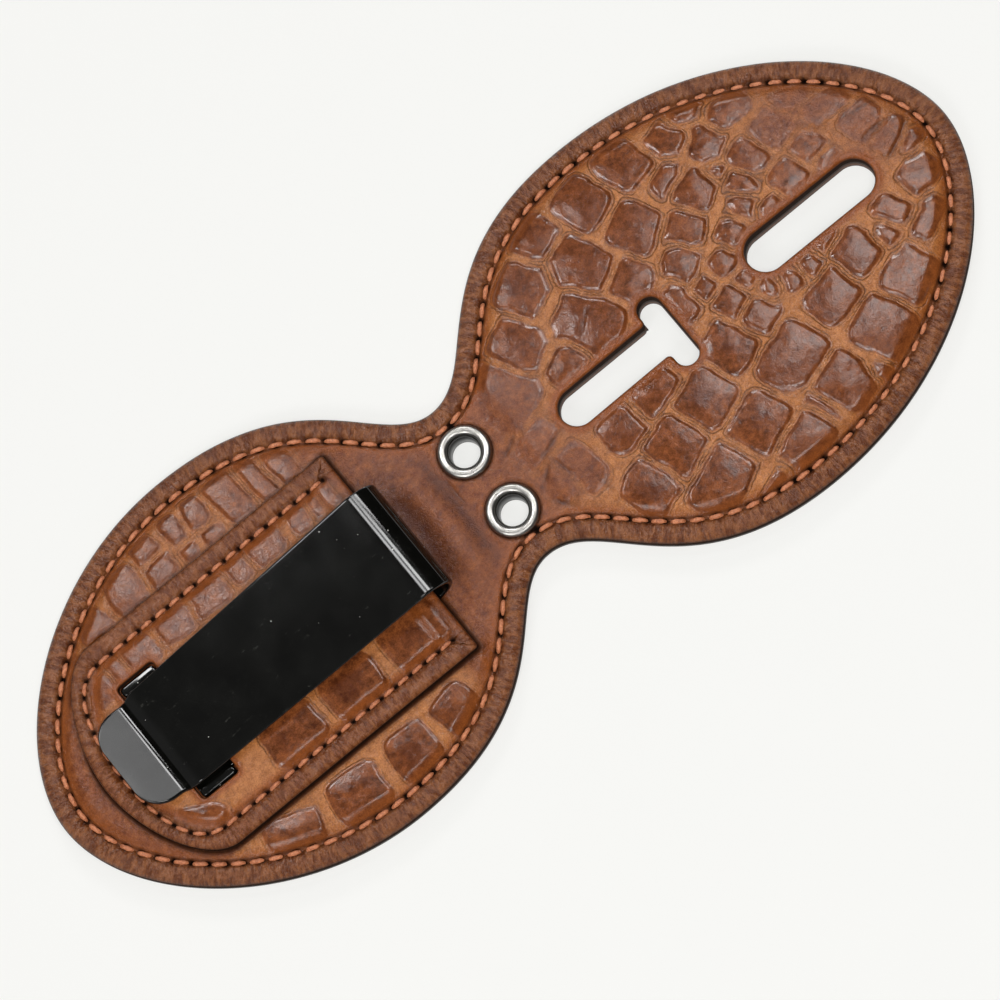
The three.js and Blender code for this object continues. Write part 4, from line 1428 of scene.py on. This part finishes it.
def make_lights():
    """The key only lights, and the sheens only mirror in what is glossy. Round them stands a dim tent."""
    for name, (angles, distance, radiance) in LIGHTS.items():
        light = softbox(name, angles, distance, radiance)
        light.visible_glossy = name != "key"
        light.visible_diffuse = not name.startswith("sheen")
    world = bpy.data.worlds.new("tent")
    world.use_nodes = True
    nodes, links = world.node_tree.nodes, world.node_tree.links
    background = nodes["Background"]
    direction = nodes.new("ShaderNodeTexCoord").outputs["Generated"]
    split = nodes.new("ShaderNodeSeparateXYZ")
    links.new(direction, split.inputs[0])
    levels = nodes.new("ShaderNodeMapRange")
    for socket, number in zip(levels.inputs[1:5], TENT.values()):
        socket.default_value = number
    links.new(split.outputs["X"], levels.inputs[0])
    links.new(levels.outputs[0], background.inputs["Strength"])
    background.inputs["Color"].default_value = (1, 1, 1, 1)
    bpy.context.scene.world = world
    bpy.context.scene.view_settings.view_transform = "Standard"


def make_floor(material):
    mesh = bpy.data.meshes.new("floor")
    corners = [(x * FLOOR_REACH, y * FLOOR_REACH, 0) for x, y in ((-1, -1), (1, -1), (1, 1), (-1, 1))]
    mesh.from_pydata(corners, [], [(0, 1, 2, 3)])
    floor = bpy.data.objects.new("floor", mesh)
    bpy.context.collection.objects.link(floor)
    mesh.materials.append(material)


# ---- Assembly -------------------------------------------------------------------------------------

# The leathers' fold lies between these two points, and the arm's bend this far to both sides of its U-bend's
# middle; the code below only works out these points and bakes each piece's transform, bending nothing.
FOLD_START = (-14.0, 0, 0)
FOLD_END = (-5.2, 0, 0)
BEND_AHEAD = (-0.25, 0, 0.97)
BEND_REACH = 2.5


def blend_fold(piece):
    tuple(place(FOLD_START))
    tuple(place(FOLD_END))
    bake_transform(piece)


def blend_arm(piece):
    middle = np.array([BEND_X + BEND_RADIUS, 0, BEND_Z])
    start, end = (tuple(place(middle + side * BEND_REACH * np.array(BEND_AHEAD))) for side in (-1, 1))
    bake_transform(piece)


def main():
    make_camera()
    make_lights()
    make_floor(floor_material())
    leather = leather_material()
    lining = lining_material()
    board = board_material()
    thread = thread_material()
    nickel = nickel_material()
    steel = clip_material()
    tape = tape_material()

    for make, material, slot in ((make_outer_leather, leather, "outer_leather"),
                                 (make_lining, lining, "lining_leather"),
                                 (make_edge_thread, thread, "thread")):
        piece = make()
        dress(piece, material)
        blend_fold(piece)

    dress(make_patch(), leather)
    dress(make_patch_thread(), thread)
    for name, side in (("eyelet_left", 1), ("eyelet_right", -1)):
        dress(make_eyelet(name, side), nickel)
    arm = make_clip_arm()
    dress(arm, steel)
    blend_arm(arm)

    for node in ("stiffener_badge", "stiffener_clip"):
        dress_node(node, board)
    for node in ("eyelet_washer_left", "eyelet_washer_right"):
        dress_node(node, nickel)
    dress(make_clip_base(), steel)
    for node, name, body, line, seed in (("hook_pad", "hook_tape", "badge_leaf", hook_line(), 31),
                                         ("loop_pad", "loop_tape", "clip_leaf", loop_line(), 32)):
        dress(make_pad(node, name, body, line, seed), tape)
        dress(make_pad_thread(node, f"{name}_thread", body), thread)


main()
